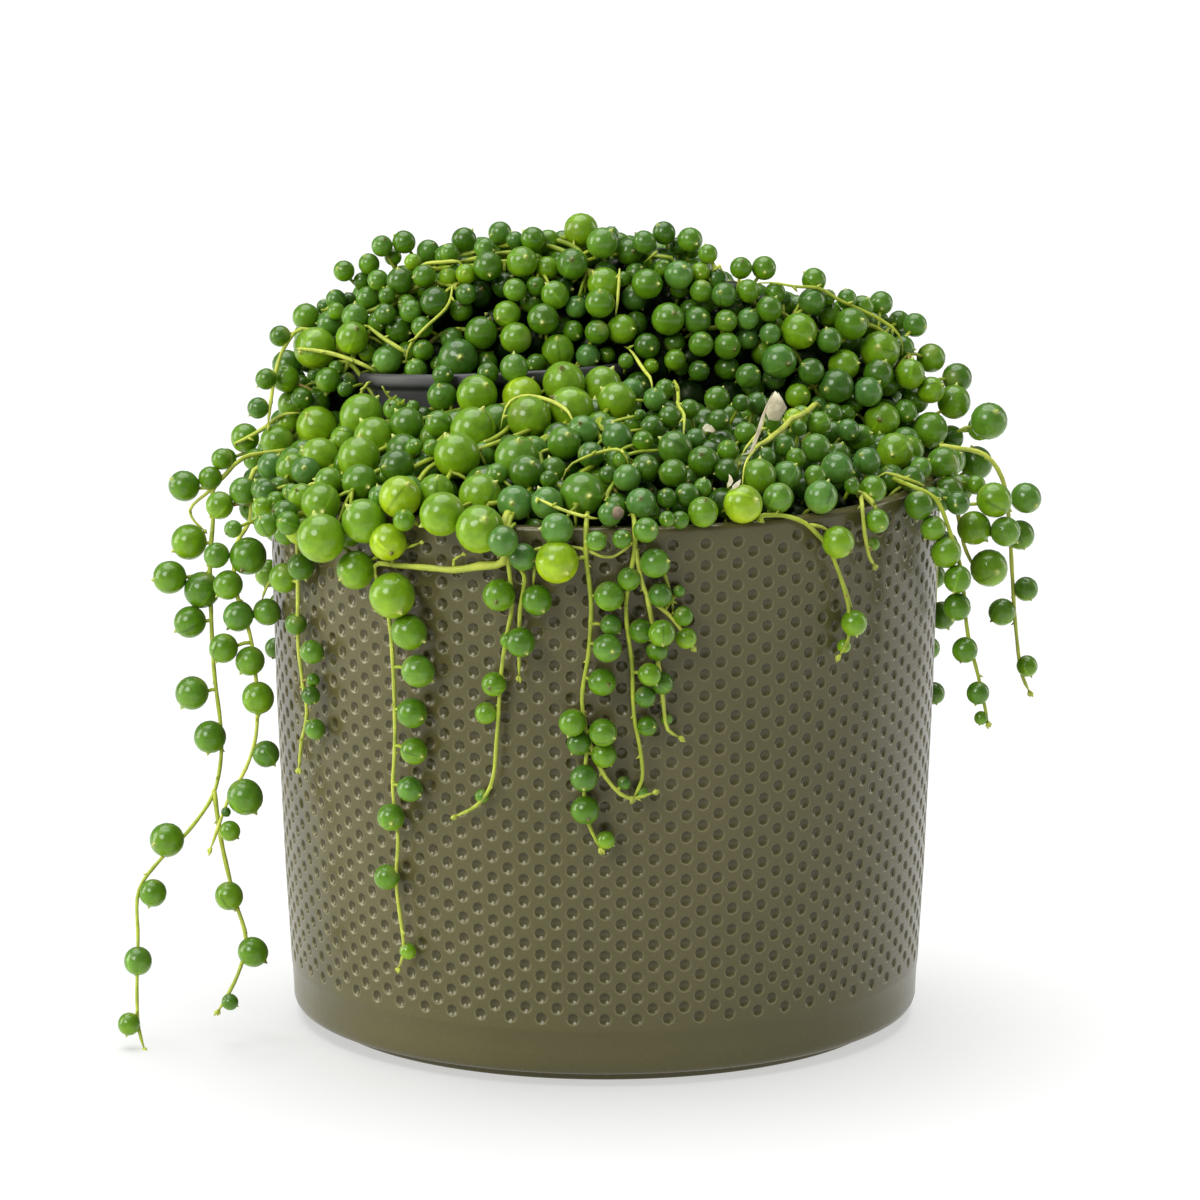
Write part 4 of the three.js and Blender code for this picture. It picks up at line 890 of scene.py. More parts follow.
def spread_along_sight(places, radii, fixed_at, fixed_radii):
    """Moves the seen pearls along their sight lines until they hardly overlap."""
    places = np.array(places)
    radii = np.array(radii)
    lines = np.array([unit(p - EYE) for p in places])
    moved = np.zeros(len(places))
    for _ in range(60):
        at = places + lines * moved[:, None]
        apart = at[None] - at[:, None]
        gap = np.linalg.norm(apart, axis=2)
        need = 0.955 * (radii[None] + radii[:, None])
        for i, j in np.argwhere(np.triu(gap < need, 1)):
            deep = apart[i, j] @ FORWARD
            aside = math.sqrt(max(gap[i, j] ** 2 - deep ** 2, 0.0))
            short = math.sqrt(max(need[i, j] ** 2 - aside ** 2, 0.0)) - abs(deep)
            near, far = (i, j) if deep > 0 else (j, i)
            moved[near] -= 0.22 * short
            moved[far] += 0.4 * short
        for i, place in enumerate(at):
            near = np.linalg.norm(fixed_at - place, axis=1) - fixed_radii - radii[i]
            if near.min() < -STRING_OVERLAP:
                moved[i] += 0.5
        moved = np.clip(moved, -3.0, 11.0)
    return places + lines * moved[:, None]


def slide_clear(centre, radius):
    """Slides a pearl along its sight line toward the viewer until the rim no longer cuts it."""
    line = unit(centre - EYE)
    for step in np.arange(0, 16, 0.4):
        if from_wall(centre - line * step)[0] >= radius + WALL_CLEARANCE:
            return centre - line * step
    return clear_of_wall(centre, radius)


hung = [pearl for runs in strings.values() for _, pearls_of_run in runs for pearl in pearls_of_run]
string_at = np.array([pearl[0] for pearl in hung])
string_radius = np.array([pearl[1] for pearl in hung])
pearls = Pearls()
first = [place_on_plant(u, v, s * MM_PER_UNIT * PEARL_SINK) for u, v, s in SEEN_PEARLS]
first = spread_along_sight(first, [s * MM_PER_UNIT for _, _, s in SEEN_PEARLS], string_at, string_radius)
for (u, v, size), place in zip(SEEN_PEARLS, first):
    radius = size * MM_PER_UNIT
    pearls.add(slide_clear(place, radius), radius, tone_of(u, v, size, mat_draw))


# Below this line of the view the mat's pearls stand before the grower's pot.
RIM_SEEN_AT = 367


def clear_of_nursery(centre, radius):
    """Slides a pearl along its sight line until the grower's pot no longer cuts it."""
    line = unit(centre - EYE)
    ways = (-1, 1) if seen_at(centre)[1] < RIM_SEEN_AT else (-1,)
    for step in np.arange(0, 12, 0.4):
        for way in ways:
            if from_nursery_wall(centre + line * step * way) > radius + NURSERY_CLEARANCE:
                return centre + line * step * way
    return centre


def string_room(centre, radius):
    """The least room between a place and the strings' pearls, negative where they overlap."""
    return (np.linalg.norm(string_at - centre, axis=1) - string_radius - radius).min()


def place_behind(u, v, size):
    """The nearest place on a sight line that is free, from the plant's form inward."""
    radius = size * MM_PER_UNIT
    start = place_on_plant(u, v, radius * PEARL_SINK + 0.6)
    if (u, v) in OVER_NURSERY:
        return clear_of_nursery(place_at_depth(u, v, NURSERY_RIM[1] - NURSERY_RADIUS), radius)
    line = unit(start - EYE)
    best, most = start, -math.inf
    for step in np.arange(0, 17, 0.5):
        centre = start + line * step
        room = min(pearls.room(centre, radius) + 0.1 * radius,
                   from_nursery_wall(centre) - radius - NURSERY_CLEARANCE,
                   from_wall(centre)[0] - radius, string_room(centre, radius) + STRING_OVERLAP)
        if room > 0:
            return centre
        if room > most:
            best, most = centre, room
    return best


for i in range(pearls.n):
    pearls.move(i, clear_of_nursery(pearls.at[i], pearls.radius[i]))
for u, v, size in BEHIND_PEARLS:
    place = place_behind(u, v, size)
    pearls.add(place, size * MM_PER_UNIT, tone_of(u, v, size, mat_draw))
SEEN_COUNT = pearls.n

# Parts of the view where the grower's pot shows, and where dark hollows do: (u0, v0, u1, v1).
NURSERY_SEEN = (346, 362, 436, 400)
DARK_HOLLOWS = [(640, 378, 664, 396), (672, 380, 748, 446), (786, 432, 806, 462), (655, 484, 716, 526),
                (728, 452, 748, 490)]
# The line in the view that the tops of the ruled pearls keep below.
SKYLINE = [(236, 440), (262, 392), (284, 345), (318, 298), (345, 282), (380, 258), (430, 246), (480, 236),
           (545, 229), (600, 229), (690, 238), (712, 266), (745, 279), (790, 291), (850, 297), (900, 318),
           (930, 350), (960, 385), (985, 420)]


def skyline(u):
    """The v of the line at a u."""
    return np.interp(u, [p[0] for p in SKYLINE], [p[1] for p in SKYLINE])


def over_skyline(centre, radius):
    """True if a pearl would rise over the line."""
    u, v = seen_at(centre)
    return v - radius / MM_PER_UNIT < skyline(u)


def mound_top(x, y):
    """The plant's top, lowered to the skyline where it would rise over it."""
    top = plant_top(x, y)
    u, v = seen_at(np.array([x, y, top]))
    return top - max(0.0, skyline(u) - v) * MM_PER_UNIT / UP[2]


# Pearls this far back hide nothing, and those this deep may stand in a hollow.
BEHIND_CREST = 30.0
DEEP_DOWN = 9.5


def hides_seen(centre, radius):
    """True if a pearl would hide a seen one, rise over the skyline or stand before a hollow."""
    u, v = seen_at(centre)
    deep = (centre - EYE) @ FORWARD
    size = radius / MM_PER_UNIT
    if over_skyline(centre, radius):
        return True
    if centre[1] > BEHIND_CREST:
        return False
    near = size * 0.7
    if plant_top(centre[0], centre[1]) - centre[2] <= DEEP_DOWN:
        for u0, v0, u1, v1 in [NURSERY_SEEN] + DARK_HOLLOWS:
            if u0 - near < u < u1 + near and v0 - near < v < v1 + near:
                return True
    spots = pearls.spot[:SEEN_COUNT]
    sizes = pearls.radius[:SEEN_COUNT] / MM_PER_UNIT
    apart = np.hypot(spots[:, 0] - u, spots[:, 1] - v)
    return bool(((deep < spots[:, 2]) & (apart < size * 0.72 + sizes * 0.86)).any())


# Angles in degrees between which the outer pot's rim shows, and the mound's edge elsewhere.
RIM_SHOWS = (272, 333)
MOUND_EDGE = 84.0
LOWEST_BOTTOM = 122.0
PEARL_RADII = {
    "bunch_front_left": (3.3, 4.9), "bunch_front_right": (2.9, 4.2), "bunch_right": (3.0, 4.3),
    "crown": (2.8, 3.9), "bunch_left": (2.7, 3.9), "bunch_back": (2.8, 4.2)}
DEPTH_GRAIN = 0.8


def widest(degrees, radius):
    """How far from the pot's axis a ruled pearl's middle may lie: less where the rim shows."""
    first, last = RIM_SHOWS
    if first < degrees % 360 < last:
        return RIM_RADIUS - POT_WALL - radius
    return MOUND_EDGE - 0.3 * radius


def usual_radius(x, y):
    """The least and the largest radius of the pearls round a place on the mound."""
    return PEARL_RADII[bunch_at(np.array([x, y, 140.0]))]


def cuts_pots(centre, radius):
    """True if a pearl cuts a wall of the two pots or stands too near the grower's pot."""
    return from_wall(centre)[0] < radius or from_nursery_wall(centre) < radius + NURSERY_CLEARANCE


def fits(centre, radius, overlap):
    """True if a pearl has room between the others and hides nothing seen."""
    if pearls.room(centre, radius) < -overlap * radius or hides_seen(centre, radius):
        return False
    return string_room(centre, radius) >= -STRING_OVERLAP


def ruled_look(radius):
    """The look of a pearl that the view doesn't show."""
    return tone_of(-1, -1, radius / MM_PER_UNIT, mat_draw)


def sunk_at(x, y):
    """How much deeper than the seen pearls the ruled ones start: most at the front right."""
    if x > 2 and y < -12:
        return 5.6
    return 3.4 if y < 24 and -44 < x < 70 else 0.0


def fill(tries, least_depth, most_depth, share_of_size, layer=0, overlap=0.05):
    """Throws pearls on the plant's form, and sinks each until it has room."""
    for _ in range(tries):
        turn = 2 * math.pi * mat_draw()
        share = math.sqrt(mat_draw())
        draw_size = mat_draw()
        limit = widest(math.degrees(turn), 3.6)
        x, y = limit * share * math.cos(turn), limit * share * math.sin(turn)
        radius = lerp(*usual_radius(x, y), draw_size) * share_of_size
        top = np.array([x, y, mound_top(x, y)])
        inward = -outward(top)
        sunk = sunk_at(x, y)
        for depth in np.arange(least_depth + sunk, most_depth + sunk, DEPTH_GRAIN):
            centre = top + inward * (depth + radius * PEARL_SINK)
            if centre[2] < LOWEST_BOTTOM + radius or math.hypot(centre[0], centre[1]) > limit:
                break
            if fits(centre, radius, overlap) and not cuts_pots(centre, radius):
                tone, blue, chance = ruled_look(radius)
                # Painted shade: a sunk pearl is painted darker the deeper it lies under the mound's top, by a
                # quarter at least and near black from 12 mm down.
                if sunk:
                    depth_here = plant_top(centre[0], centre[1]) - centre[2]
                    light = 0.75 * min(1.0, max(0.0, (12.0 - depth_here) / 7))
                    tone = tone * light
                    blue = blue * 0.5 * light
                pearls.add(centre, radius, (tone, blue, chance), layer)
                break


def fill_view(tries):
    """Fills the gaps that the view looks into with deeper pearls, painted darker as the shade in those gaps.
    """
    for _ in range(tries):
        u = lerp(240, 980, mat_draw())
        v = lerp(240, 545, mat_draw())
        radius = lerp(2.6, 3.7, mat_draw())
        if 640 < u < 900 and v > 372:
            continue
        start = place_on_plant(u, v, radius * PEARL_SINK + 2.6)
        line = unit(start - EYE)
        for step in np.arange(0, 8, DEPTH_GRAIN):
            centre = start + line * step
            if centre[2] < LOWEST_BOTTOM + radius or math.hypot(centre[0], centre[1]) > 80 - radius:
                break
            if fits(centre, radius, 0.12) and not cuts_pots(centre, radius):
                tone, blue, chance = ruled_look(radius)
                # Painted shade: these pearls' tone is lowered to seven tenths and their blue halved.
                pearls.add(centre, radius, (tone * 0.7, blue * 0.5, chance))
                break


def fill_sides(tries):
    """Covers the steep sides and the back of the mound, from outside at each height."""
    for _ in range(tries):
        turn = math.radians(-20 + 220 * mat_draw())
        z = lerp(126, 170, mat_draw())
        radius = lerp(2.8, 4.0, mat_draw())
        for out in np.arange(82, 30, -1.5):
            place = polar(out, turn, z)
            if mound_top(place[0], place[1]) >= z:
                break
        for depth in np.arange(0.0, 8.0, DEPTH_GRAIN):
            centre = place - outward(place) * (depth + radius * PEARL_SINK)
            if math.hypot(centre[0], centre[1]) > MOUND_EDGE - 0.3 * radius or cuts_pots(centre, radius):
                continue
            if centre[2] >= LOWEST_BOTTOM + radius and fits(centre, radius, 0.08):
                pearls.add(centre, radius, ruled_look(radius))
                break


def drape(tries):
    """Pearls that hang over the rim and lie against the outer wall, but not where the rim shows."""
    for _ in range(tries):
        degrees = 333 + 295 * mat_draw()
        radius = lerp(2.7, 4.0, mat_draw())
        z = lerp(120.5 if degrees > 525 else 124.5, 134.0, mat_draw())
        out = outer_radius(min(z, 128)) + radius + 0.15 + 0.8 * mat_draw()
        if z > POT_HEIGHT:
            out -= 0.9 * (z - POT_HEIGHT)
        if degrees > 590 and z < 129.5:
            continue
        turn = math.radians(degrees)
        centre = clear_of_wall(polar(out, turn, z), radius)
        if fits(centre, radius, 0.08):
            pearls.add(centre, radius, ruled_look(radius))


fill(5200, 0.0, 3.0, 1.0)
fill_sides(3200)
fill_view(2600)
fill(4200, 1.0, 6.0, 0.8)
fill(5000, 4.5, 9.5, 0.95, layer=1, overlap=0.2)
drape(4200)

# ---------------------------------------------------------------- materials

def new_material(name):
    """A material, its node tree and its shader."""
    material = bpy.data.materials.new(name)
    material.use_nodes = True
    tree = material.node_tree
    return material, tree, tree.nodes["Principled BSDF"]


def set_values(shader, values):
    """Sets constant values on the shader's own sockets."""
    for name, value in values.items():
        shader.inputs[name].default_value = value


def grey(level):
    """The colour of a grey."""
    return (level, level, level)


def node(tree, kind, **settings):
    """A new node with its settings."""
    made = tree.nodes.new(kind)
    for key, value in settings.items():
        setattr(made, key, value)
    return made


def noise(tree, scale, detail=3.0, rough=0.5):
    """A noise in the model's own place, in repeats per metre."""
    place = node(tree, "ShaderNodeTexCoord")
    made = node(tree, "ShaderNodeTexNoise")
    made.inputs["Scale"].default_value = scale
    made.inputs["Detail"].default_value = detail
    made.inputs["Roughness"].default_value = rough
    tree.links.new(place.outputs["Object"], made.inputs["Vector"])
    return made.outputs["Fac"]


def ramp(tree, value, stops):
    """A colour that follows a value through stops: (value, colour)."""
    made = node(tree, "ShaderNodeValToRGB")
    parts = made.color_ramp.elements
    while len(parts) < len(stops):
        parts.new(0.5)
    for part, (at, colour) in zip(parts, stops):
        part.position = at
        part.color = (*colour, 1.0)
    tree.links.new(value, made.inputs["Fac"])
    return made.outputs["Color"]


def math_node(tree, operation, *values):
    """The result of an operation on numbers and sockets."""
    made = node(tree, "ShaderNodeMath", operation=operation)
    for socket, value in zip(made.inputs, values):
        if isinstance(value, (int, float)):
            socket.default_value = value
        else:
            tree.links.new(value, socket)
    return made.outputs[0]


def mix(tree, share, a, b, kind="MIX"):
    """A mix of two colours, each a colour or a socket."""
    made = node(tree, "ShaderNodeMix", data_type="RGBA", blend_type=kind)
    for key, value in ((0, share), (6, a), (7, b)):
        socket = made.inputs[key]
        if isinstance(value, (int, float)):
            socket.default_value = value
        elif isinstance(value, tuple):
            socket.default_value = (*value, 1.0)
        else:
            tree.links.new(value, socket)
    return made.outputs[2]


def bump(tree, shader, height, strength, distance):
    """Fine relief on a shader; the distance is in metres."""
    made = node(tree, "ShaderNodeBump")
    made.inputs["Strength"].default_value = strength
    made.inputs["Distance"].default_value = distance
    tree.links.new(height, made.inputs["Height"])
    tree.links.new(made.outputs["Normal"], shader.inputs["Normal"])


def looks_of(tree):
    """The three numbers of each point's look."""
    read = node(tree, "ShaderNodeAttribute", attribute_name="look")
    split = node(tree, "ShaderNodeSeparateColor")
    tree.links.new(read.outputs["Color"], split.inputs["Color"])
    return split.outputs


def pearl_material():
    """Waxy green pearls: deep green to lime, mottled, with a faint line from tip to stalk; painted darker on
    top and glowing underneath, and near black where a tone near nought paints the shade deep in the mat.
    """
    material, tree, shader = new_material("pearl")
    tone, blue, chance = looks_of(tree)
    # Tones under 0.05 come only from the painted shade of sunk pearls; the stop at 0 is near black for it.
    colour = ramp(tree, tone, [
        (0.0, (0.004, 0.016, 0.001)), (0.04, (0.034, 0.108, 0.003)), (0.3, (0.100, 0.240, 0.006)),
        (0.6, (0.180, 0.350, 0.007)), (1.0, (0.350, 0.520, 0.008))])
    colour = mix(tree, math_node(tree, "MULTIPLY", blue, 0.7), colour, (0.100, 0.250, 0.058))
    # Painted light: each pearl's upper side is painted darker and its underside brighter and yellower, as
    # light shining through it would show.
    facing = node(tree, "ShaderNodeNewGeometry")
    height = node(tree, "ShaderNodeSeparateXYZ")
    tree.links.new(facing.outputs["Normal"], height.inputs["Vector"])
    painted_glow_and_shade = ramp(tree, math_node(tree, "MULTIPLY_ADD", height.outputs["Z"], -0.5, 0.5), [
        (0.26, (0.60, 0.66, 0.70)), (0.58, grey(1.0)), (0.88, (1.55, 1.36, 0.8))])
    colour = mix(tree, 1.0, colour, painted_glow_and_shade, "MULTIPLY")
    mottle = ramp(tree, noise(tree, 420.0, 4.0, 0.6), [(0.35, (0.78, 0.80, 0.74)), (0.7, (1.16, 1.14, 1.05))])
    colour = mix(tree, 1.0, colour, mottle, "MULTIPLY")
    read = node(tree, "ShaderNodeUVMap", uv_map="turn")
    split = node(tree, "ShaderNodeSeparateXYZ")
    tree.links.new(read.outputs["UV"], split.inputs["Vector"])
    around, along = split.outputs["X"], split.outputs["Y"]
    aside = math_node(tree, "ABSOLUTE", math_node(tree, "SUBTRACT", around, 0.5))
    wave = math_node(tree, "MULTIPLY", noise(tree, 260.0, 1.0), 0.02)
    line = ramp(tree, math_node(tree, "ADD", aside, wave), [(0.014, grey(1.0)), (0.034, grey(0.0))])
    line = math_node(tree, "MULTIPLY", line, math_node(tree, "GREATER_THAN", along, 0.3))
    shade = mix(tree, math_node(tree, "GREATER_THAN", chance, 0.45), (0.42, 0.46, 0.40), (1.75, 1.6, 2.2))
    ruled = mix(tree, 1.0, colour, shade, "MULTIPLY")
    colour = mix(tree, math_node(tree, "MULTIPLY", line, 0.7), colour, ruled)
    cap = ramp(tree, along, [
        (0.0, grey(0.25)), (0.14, grey(0.0)), (0.885, grey(0.0)), (0.93, grey(0.75)), (1.0, grey(1.0))])
    tip = mix(tree, math_node(tree, "GREATER_THAN", chance, 0.8), (0.44, 0.48, 0.12), (0.12, 0.08, 0.025))
    colour = mix(tree, cap, colour, tip)
    tree.links.new(colour, shader.inputs["Base Color"])
    gloss = ramp(tree, noise(tree, 700.0, 2.0), [(0.3, grey(0.38)), (0.75, grey(0.50))])
    tree.links.new(gloss, shader.inputs["Roughness"])
    coat = ramp(tree, tone, [(0.0, grey(0.05)), (0.05, grey(0.64))])
    tree.links.new(coat, shader.inputs["Coat Weight"])
    set_values(shader, {
        "IOR": 1.42, "Specular IOR Level": 0.26, "Specular Tint": (0.85, 1.0, 0.55, 1.0),
        "Subsurface Weight": 0.28, "Subsurface Radius": (0.7, 1.0, 0.2), "Subsurface Scale": 0.0022,
        "Coat Roughness": 0.13})
    bump(tree, shader, noise(tree, 900.0, 3.0), 0.12, 0.0003)
    return material


def stem_material():
    """Yellow-green stems and stalks, some with brown patches."""
    material, tree, shader = new_material("stem")
    tone, brown, _ = looks_of(tree)
    colour = ramp(tree, tone, [
        (0.0, (0.08, 0.15, 0.015)), (0.5, (0.27, 0.355, 0.020)), (1.0, (0.53, 0.58, 0.10))])
    streak = ramp(tree, noise(tree, 300.0, 4.0), [(0.3, (0.72, 0.75, 0.7)), (0.7, (1.2, 1.15, 1.1))])
    colour = mix(tree, 1.0, colour, streak, "MULTIPLY")
    patch = math_node(tree, "MULTIPLY", math_node(tree, "GREATER_THAN", brown, 0.9),
                      ramp(tree, noise(tree, 120.0, 2.0), [(0.45, grey(0.0)), (0.6, grey(0.8))]))
    colour = mix(tree, patch, colour, (0.22, 0.12, 0.045))
    tree.links.new(colour, shader.inputs["Base Color"])
    set_values(shader, {
        "Roughness": 0.46, "Specular IOR Level": 0.3, "Subsurface Weight": 0.12,
        "Subsurface Radius": (0.8, 1.0, 0.3), "Subsurface Scale": 0.0008})
    bump(tree, shader, noise(tree, 1500.0, 3.0), 0.25, 0.0002)
    return material


def dry_material():
    """Papery pale husks and shrivelled bits."""
    material, tree, shader = new_material("dry")
    tone = looks_of(tree)[0]
    pale = ramp(tree, noise(tree, 500.0, 4.0), [(0.3, (0.52, 0.44, 0.27)), (0.7, (0.80, 0.75, 0.56))])
    brown = ramp(tree, noise(tree, 400.0, 4.0), [(0.3, (0.05, 0.030, 0.014)), (0.7, (0.17, 0.11, 0.06))])
    colour = mix(tree, tone, brown, pale)
    tree.links.new(colour, shader.inputs["Base Color"])
    set_values(shader, {"Roughness": 0.75})
    bump(tree, shader, noise(tree, 1400.0, 3.0), 0.5, 0.0003)
    return material


def glaze_material():
    """Matte grey-olive glaze with faint clouds and grain; the dimples' bowls are painted darker as shade,
    their lips painted paler as a highlight, and their lower sides painted paler as if lit from above.
    """
    material, tree, shader = new_material("pot_glaze")
    cloud = ramp(tree, noise(tree, 18.0, 3.0), [
        (0.3, (0.075, 0.067, 0.0230)), (0.7, (0.090, 0.0805, 0.0295))])
    grain = ramp(tree, noise(tree, 1600.0, 3.0, 0.6), [(0.3, grey(0.93)), (0.7, (1.06, 1.06, 1.05))])
    # Painted light, from the look's first number: below 0.5 painted shade in the bowls, above it a painted
    # highlight on the lips.
    painted_dimple_light = ramp(tree, looks_of(tree)[0], [
        (0.0, (0.40, 0.39, 0.36)), (0.5, grey(1.0)), (1.0, (2.2, 2.3, 3.4))])
    colour = mix(tree, 1.0, mix(tree, 1.0, cloud, grain, "MULTIPLY"), painted_dimple_light, "MULTIPLY")
    tree.links.new(colour, shader.inputs["Base Color"])
    gloss = ramp(tree, noise(tree, 60.0, 3.0), [(0.3, grey(0.24)), (0.7, grey(0.30))])
    tree.links.new(gloss, shader.inputs["Roughness"])
    set_values(shader, {"Specular IOR Level": 0.46, "Specular Tint": (1.0, 0.97, 0.84, 1.0)})
    bump(tree, shader, noise(tree, 900.0, 4.0), 0.06, 0.0004)
    return material


def plastic_material():
    """Dull dark grey plastic with a little dust."""
    material, tree, shader = new_material("nursery_plastic")
    colour = ramp(tree, noise(tree, 90.0, 3.0), [
        (0.3, (0.030, 0.030, 0.031)), (0.7, (0.046, 0.046, 0.048))])
    dust = ramp(tree, noise(tree, 700.0, 4.0, 0.7), [(0.62, grey(0.0)), (0.8, grey(0.35))])
    tree.links.new(mix(tree, dust, colour, (0.16, 0.14, 0.11)), shader.inputs["Base Color"])
    set_values(shader, {"Roughness": 0.5})
    bump(tree, shader, noise(tree, 1200.0, 2.0), 0.1, 0.0003)
    return material


def soil_material():
    """Dark crumbly potting mix."""
    material, tree, shader = new_material("soil")
    colour = ramp(tree, noise(tree, 420.0, 6.0, 0.7), [
        (0.3, (0.008, 0.006, 0.004)), (0.55, (0.028, 0.019, 0.011)), (0.75, (0.085, 0.058, 0.034))])
    tree.links.new(colour, shader.inputs["Base Color"])
    set_values(shader, {"Roughness": 0.95})
    bump(tree, shader, noise(tree, 380.0, 6.0, 0.7), 1.0, 0.002)
    return material


def thatch_painted_shade_material():
    """The tangle of old stems under the pearls, coloured near black as painted shade for the gaps between
    them.
    """
    material, tree, shader = new_material("thatch")
    # Painted shade: the colour is held near black for the shade in the gaps.
    colour = ramp(tree, noise(tree, 260.0, 5.0, 0.65), [
        (0.35, (0.002, 0.003, 0.001)), (0.6, (0.005, 0.009, 0.003)), (0.8, (0.020, 0.026, 0.008))])
    tree.links.new(colour, shader.inputs["Base Color"])
    set_values(shader, {"Specular IOR Level": 0.1, "Roughness": 0.9})
    bump(tree, shader, noise(tree, 300.0, 5.0), 1.0, 0.003)
    return material


# A plant piece's materials, in the order of PEARL, STEM and DRY.
PLANT_MATERIALS = [pearl_material(), stem_material(), dry_material()]
GLAZE = glaze_material()
PLASTIC = plastic_material()
SOIL = soil_material()
THATCH_PAINTED_SHADE = thatch_painted_shade_material()

# ---------------------------------------------------------------- the strings' pieces

detail_draw = make_draw(5)


def stem_look(draw, pale, brown=1.0):
    """How pale a stem is, how brown its patches are, and a chance."""
    return (min(1.0, pale + 0.35 * (draw() - 0.5)), draw() * brown, draw())


def hanging_axis(start, centre):
    """The way of a tip that the view doesn't show: away from the stem and down, with some chance."""
    chance = np.array([detail_draw(), detail_draw(), detail_draw()]) - 0.5
    return unit(unit(centre - start) * 0.7 + np.array([0, 0, -0.8]) + 0.5 * chance)


def hanging_look(centre, radius):
    """The look of a string's pearl, which is in the colour sets if the view shows it in one of them."""
    spot = seen_at(centre)

    def off(key):
        return abs(key[0] - spot[0]) + abs(key[1] - spot[1])

    key = min(LIME | LIGHT | BLUE | DARK, key=off)
    if off(key) < 3 and centre[1] < BEHIND_CREST:
        return tone_of(*key, radius / MM_PER_UNIT, detail_draw)
    tone, blue, chance = tone_of(-1, -1, radius / MM_PER_UNIT, detail_draw)
    # Painted light: the string's other pearls are painted a little lighter, for the fuller light they get
    # hanging in the open.
    return tone * 1.05 + 0.03, blue, chance


# Over the rim the front runner is a bundle of stems, so it is thicker above this height.
BUNDLE_FROM = 118.5


def string_piece(name, runs):
    """One hanging string: its stems with their buds and bracts, and its pearls on their stalks."""
    mesh = Mesh()
    for line, pearls_of_run in runs:
        thick = 0.58 if pearls_of_run else 0.42
        radii = np.linspace(thick, thick * 0.7, len(line))
        if name == "string_front_runner" and pearls_of_run:
            radii = radii + 0.42 * np.clip((line[:, 2] - BUNDLE_FROM) / 2.5, 0, 1)
        radii = radii * (1 + 0.08 * np.sin(np.arange(len(line)) * 1.9))
        radii[-1] *= 0.4
        add_tube(mesh, line, radii, STEM, stem_look(detail_draw, 0.72, 0), 8)
        add_nodes(mesh, line, detail_draw, 9.0, 0.62)
        add_bud(mesh, line[-1], line[-1] - line[-2], detail_draw, 0.9 if pearls_of_run else 0.55)
        for centre, radius, axis in pearls_of_run:
            start, _ = nearest_on(line, centre)
            if axis is None:
                axis = hanging_axis(start, centre)
            look = hanging_look(centre, radius)
            add_pearl(mesh, centre, radius, axis, look, 2, detail_draw)
            add_stalk(mesh, start, centre, radius, stem_look(detail_draw, 0.6))
    return mesh.build(f"{name}_fine", "plant", PLANT_MATERIALS, [name])


for string_name, string_runs in strings.items():
    string_piece(string_name, string_runs)

# ---------------------------------------------------------------- the mat's pieces

bunches = {name: Mesh() for name in (
    "bunch_left", "bunch_front_left", "bunch_front_right", "bunch_right", "bunch_back", "crown")}


def lift_clear(line, thick):
    """Moves the points of a stem out of the pearls it crosses."""
    line = np.array(line)
    at, radii = pearls.at[:pearls.n], pearls.radius[:pearls.n]
    for _ in range(14):
        for i, place in enumerate(line):
            apart = place - at
            gap = np.linalg.norm(apart, axis=1) - radii - thick
            worst = int(np.argmin(gap))
            if gap[worst] < 0:
                line[i] = place + unit(unit(apart[worst]) + 0.5 * outward(place)) * (-gap[worst] + 0.02)
        line[1:-1] = 0.5 * line[1:-1] + 0.25 * (line[:-2] + line[2:])
    return line


CREEPING_STEMS = 46
CREEP_TO = 82


def creeping_stems():
    """Stems that run out from the middle under the pearls."""
    made = []
    for k in range(CREEPING_STEMS):
        turn = 2 * math.pi * (k + 0.6 * mat_draw()) / CREEPING_STEMS
        start = 6 + 34 * mat_draw()
        bend = (mat_draw() - 0.5) * 0.7
        sunk = 4.6 + 1.6 * mat_draw()
        line = []
        for out in np.arange(start, CREEP_TO, 4.0):
            a = turn + bend * (out - start) / 60 + 0.05 * math.sin(out / 5 + k)
            x, y = out * math.cos(a), out * math.sin(a) + 6 * (1 - out / CREEP_TO)
            top = np.array([x, y, plant_top(x, y)])
            place = top - outward(top) * sunk
            if place[2] < 129.5 or from_wall(place)[0] < 1.2 or over_skyline(place, 2.0):
                break
            line.append(place)
        spots = [seen_at(place) for place in line]
        in_hollow = any(u0 < u < u1 and v0 < v < v1 for u0, v0, u1, v1 in DARK_HOLLOWS for u, v in spots)
        if len(line) > 3 and not in_hollow:
            made.append(smooth_line(line, 2.6))
    return made


def bunch_mesh(line):
    """The mesh of the bunch in which the middle of a line lies."""
    return bunches[bunch_at(line[len(line) // 2])]


def add_creeping_stems(stems):
    """Adds each to the bunch in which it lies, with its bracts."""
    for line in stems:
        mesh = bunch_mesh(line)
        add_tube(mesh, line, 0.6, STEM, stem_look(mat_draw, 0.42), 6)
        add_nodes(mesh, line, mat_draw, 12.0, 0.8)


def add_seen_stems():
    """The stems that the view shows; both their ends dive between the pearls."""
    for thick, path in SEEN_STEMS:
        places = [place_on_plant(u, v, 1.6) for u, v in path]
        line = lift_clear(smooth_line(places, 1.8), thick)
        mesh = bunch_mesh(line)
        share = np.linspace(0, 1, len(line))
        dive = 3.4 * (np.clip(1 - share / 0.17, 0, 1) ** 2 + np.clip(1 - (1 - share) / 0.17, 0, 1) ** 2)
        line = line - np.array([outward(place) for place in line]) * dive[:, None]
        radii = thick * 0.66 * np.clip(0.25 + 2.4 * share, 0, 1) * np.clip(0.3 + 3.5 * (1 - share), 0, 1)
        radii[[0, -1]] *= 0.4
        add_tube(mesh, line, radii, STEM, stem_look(mat_draw, 0.75, 0), 8)
        add_nodes(mesh, line, mat_draw, 9.0, 0.9)


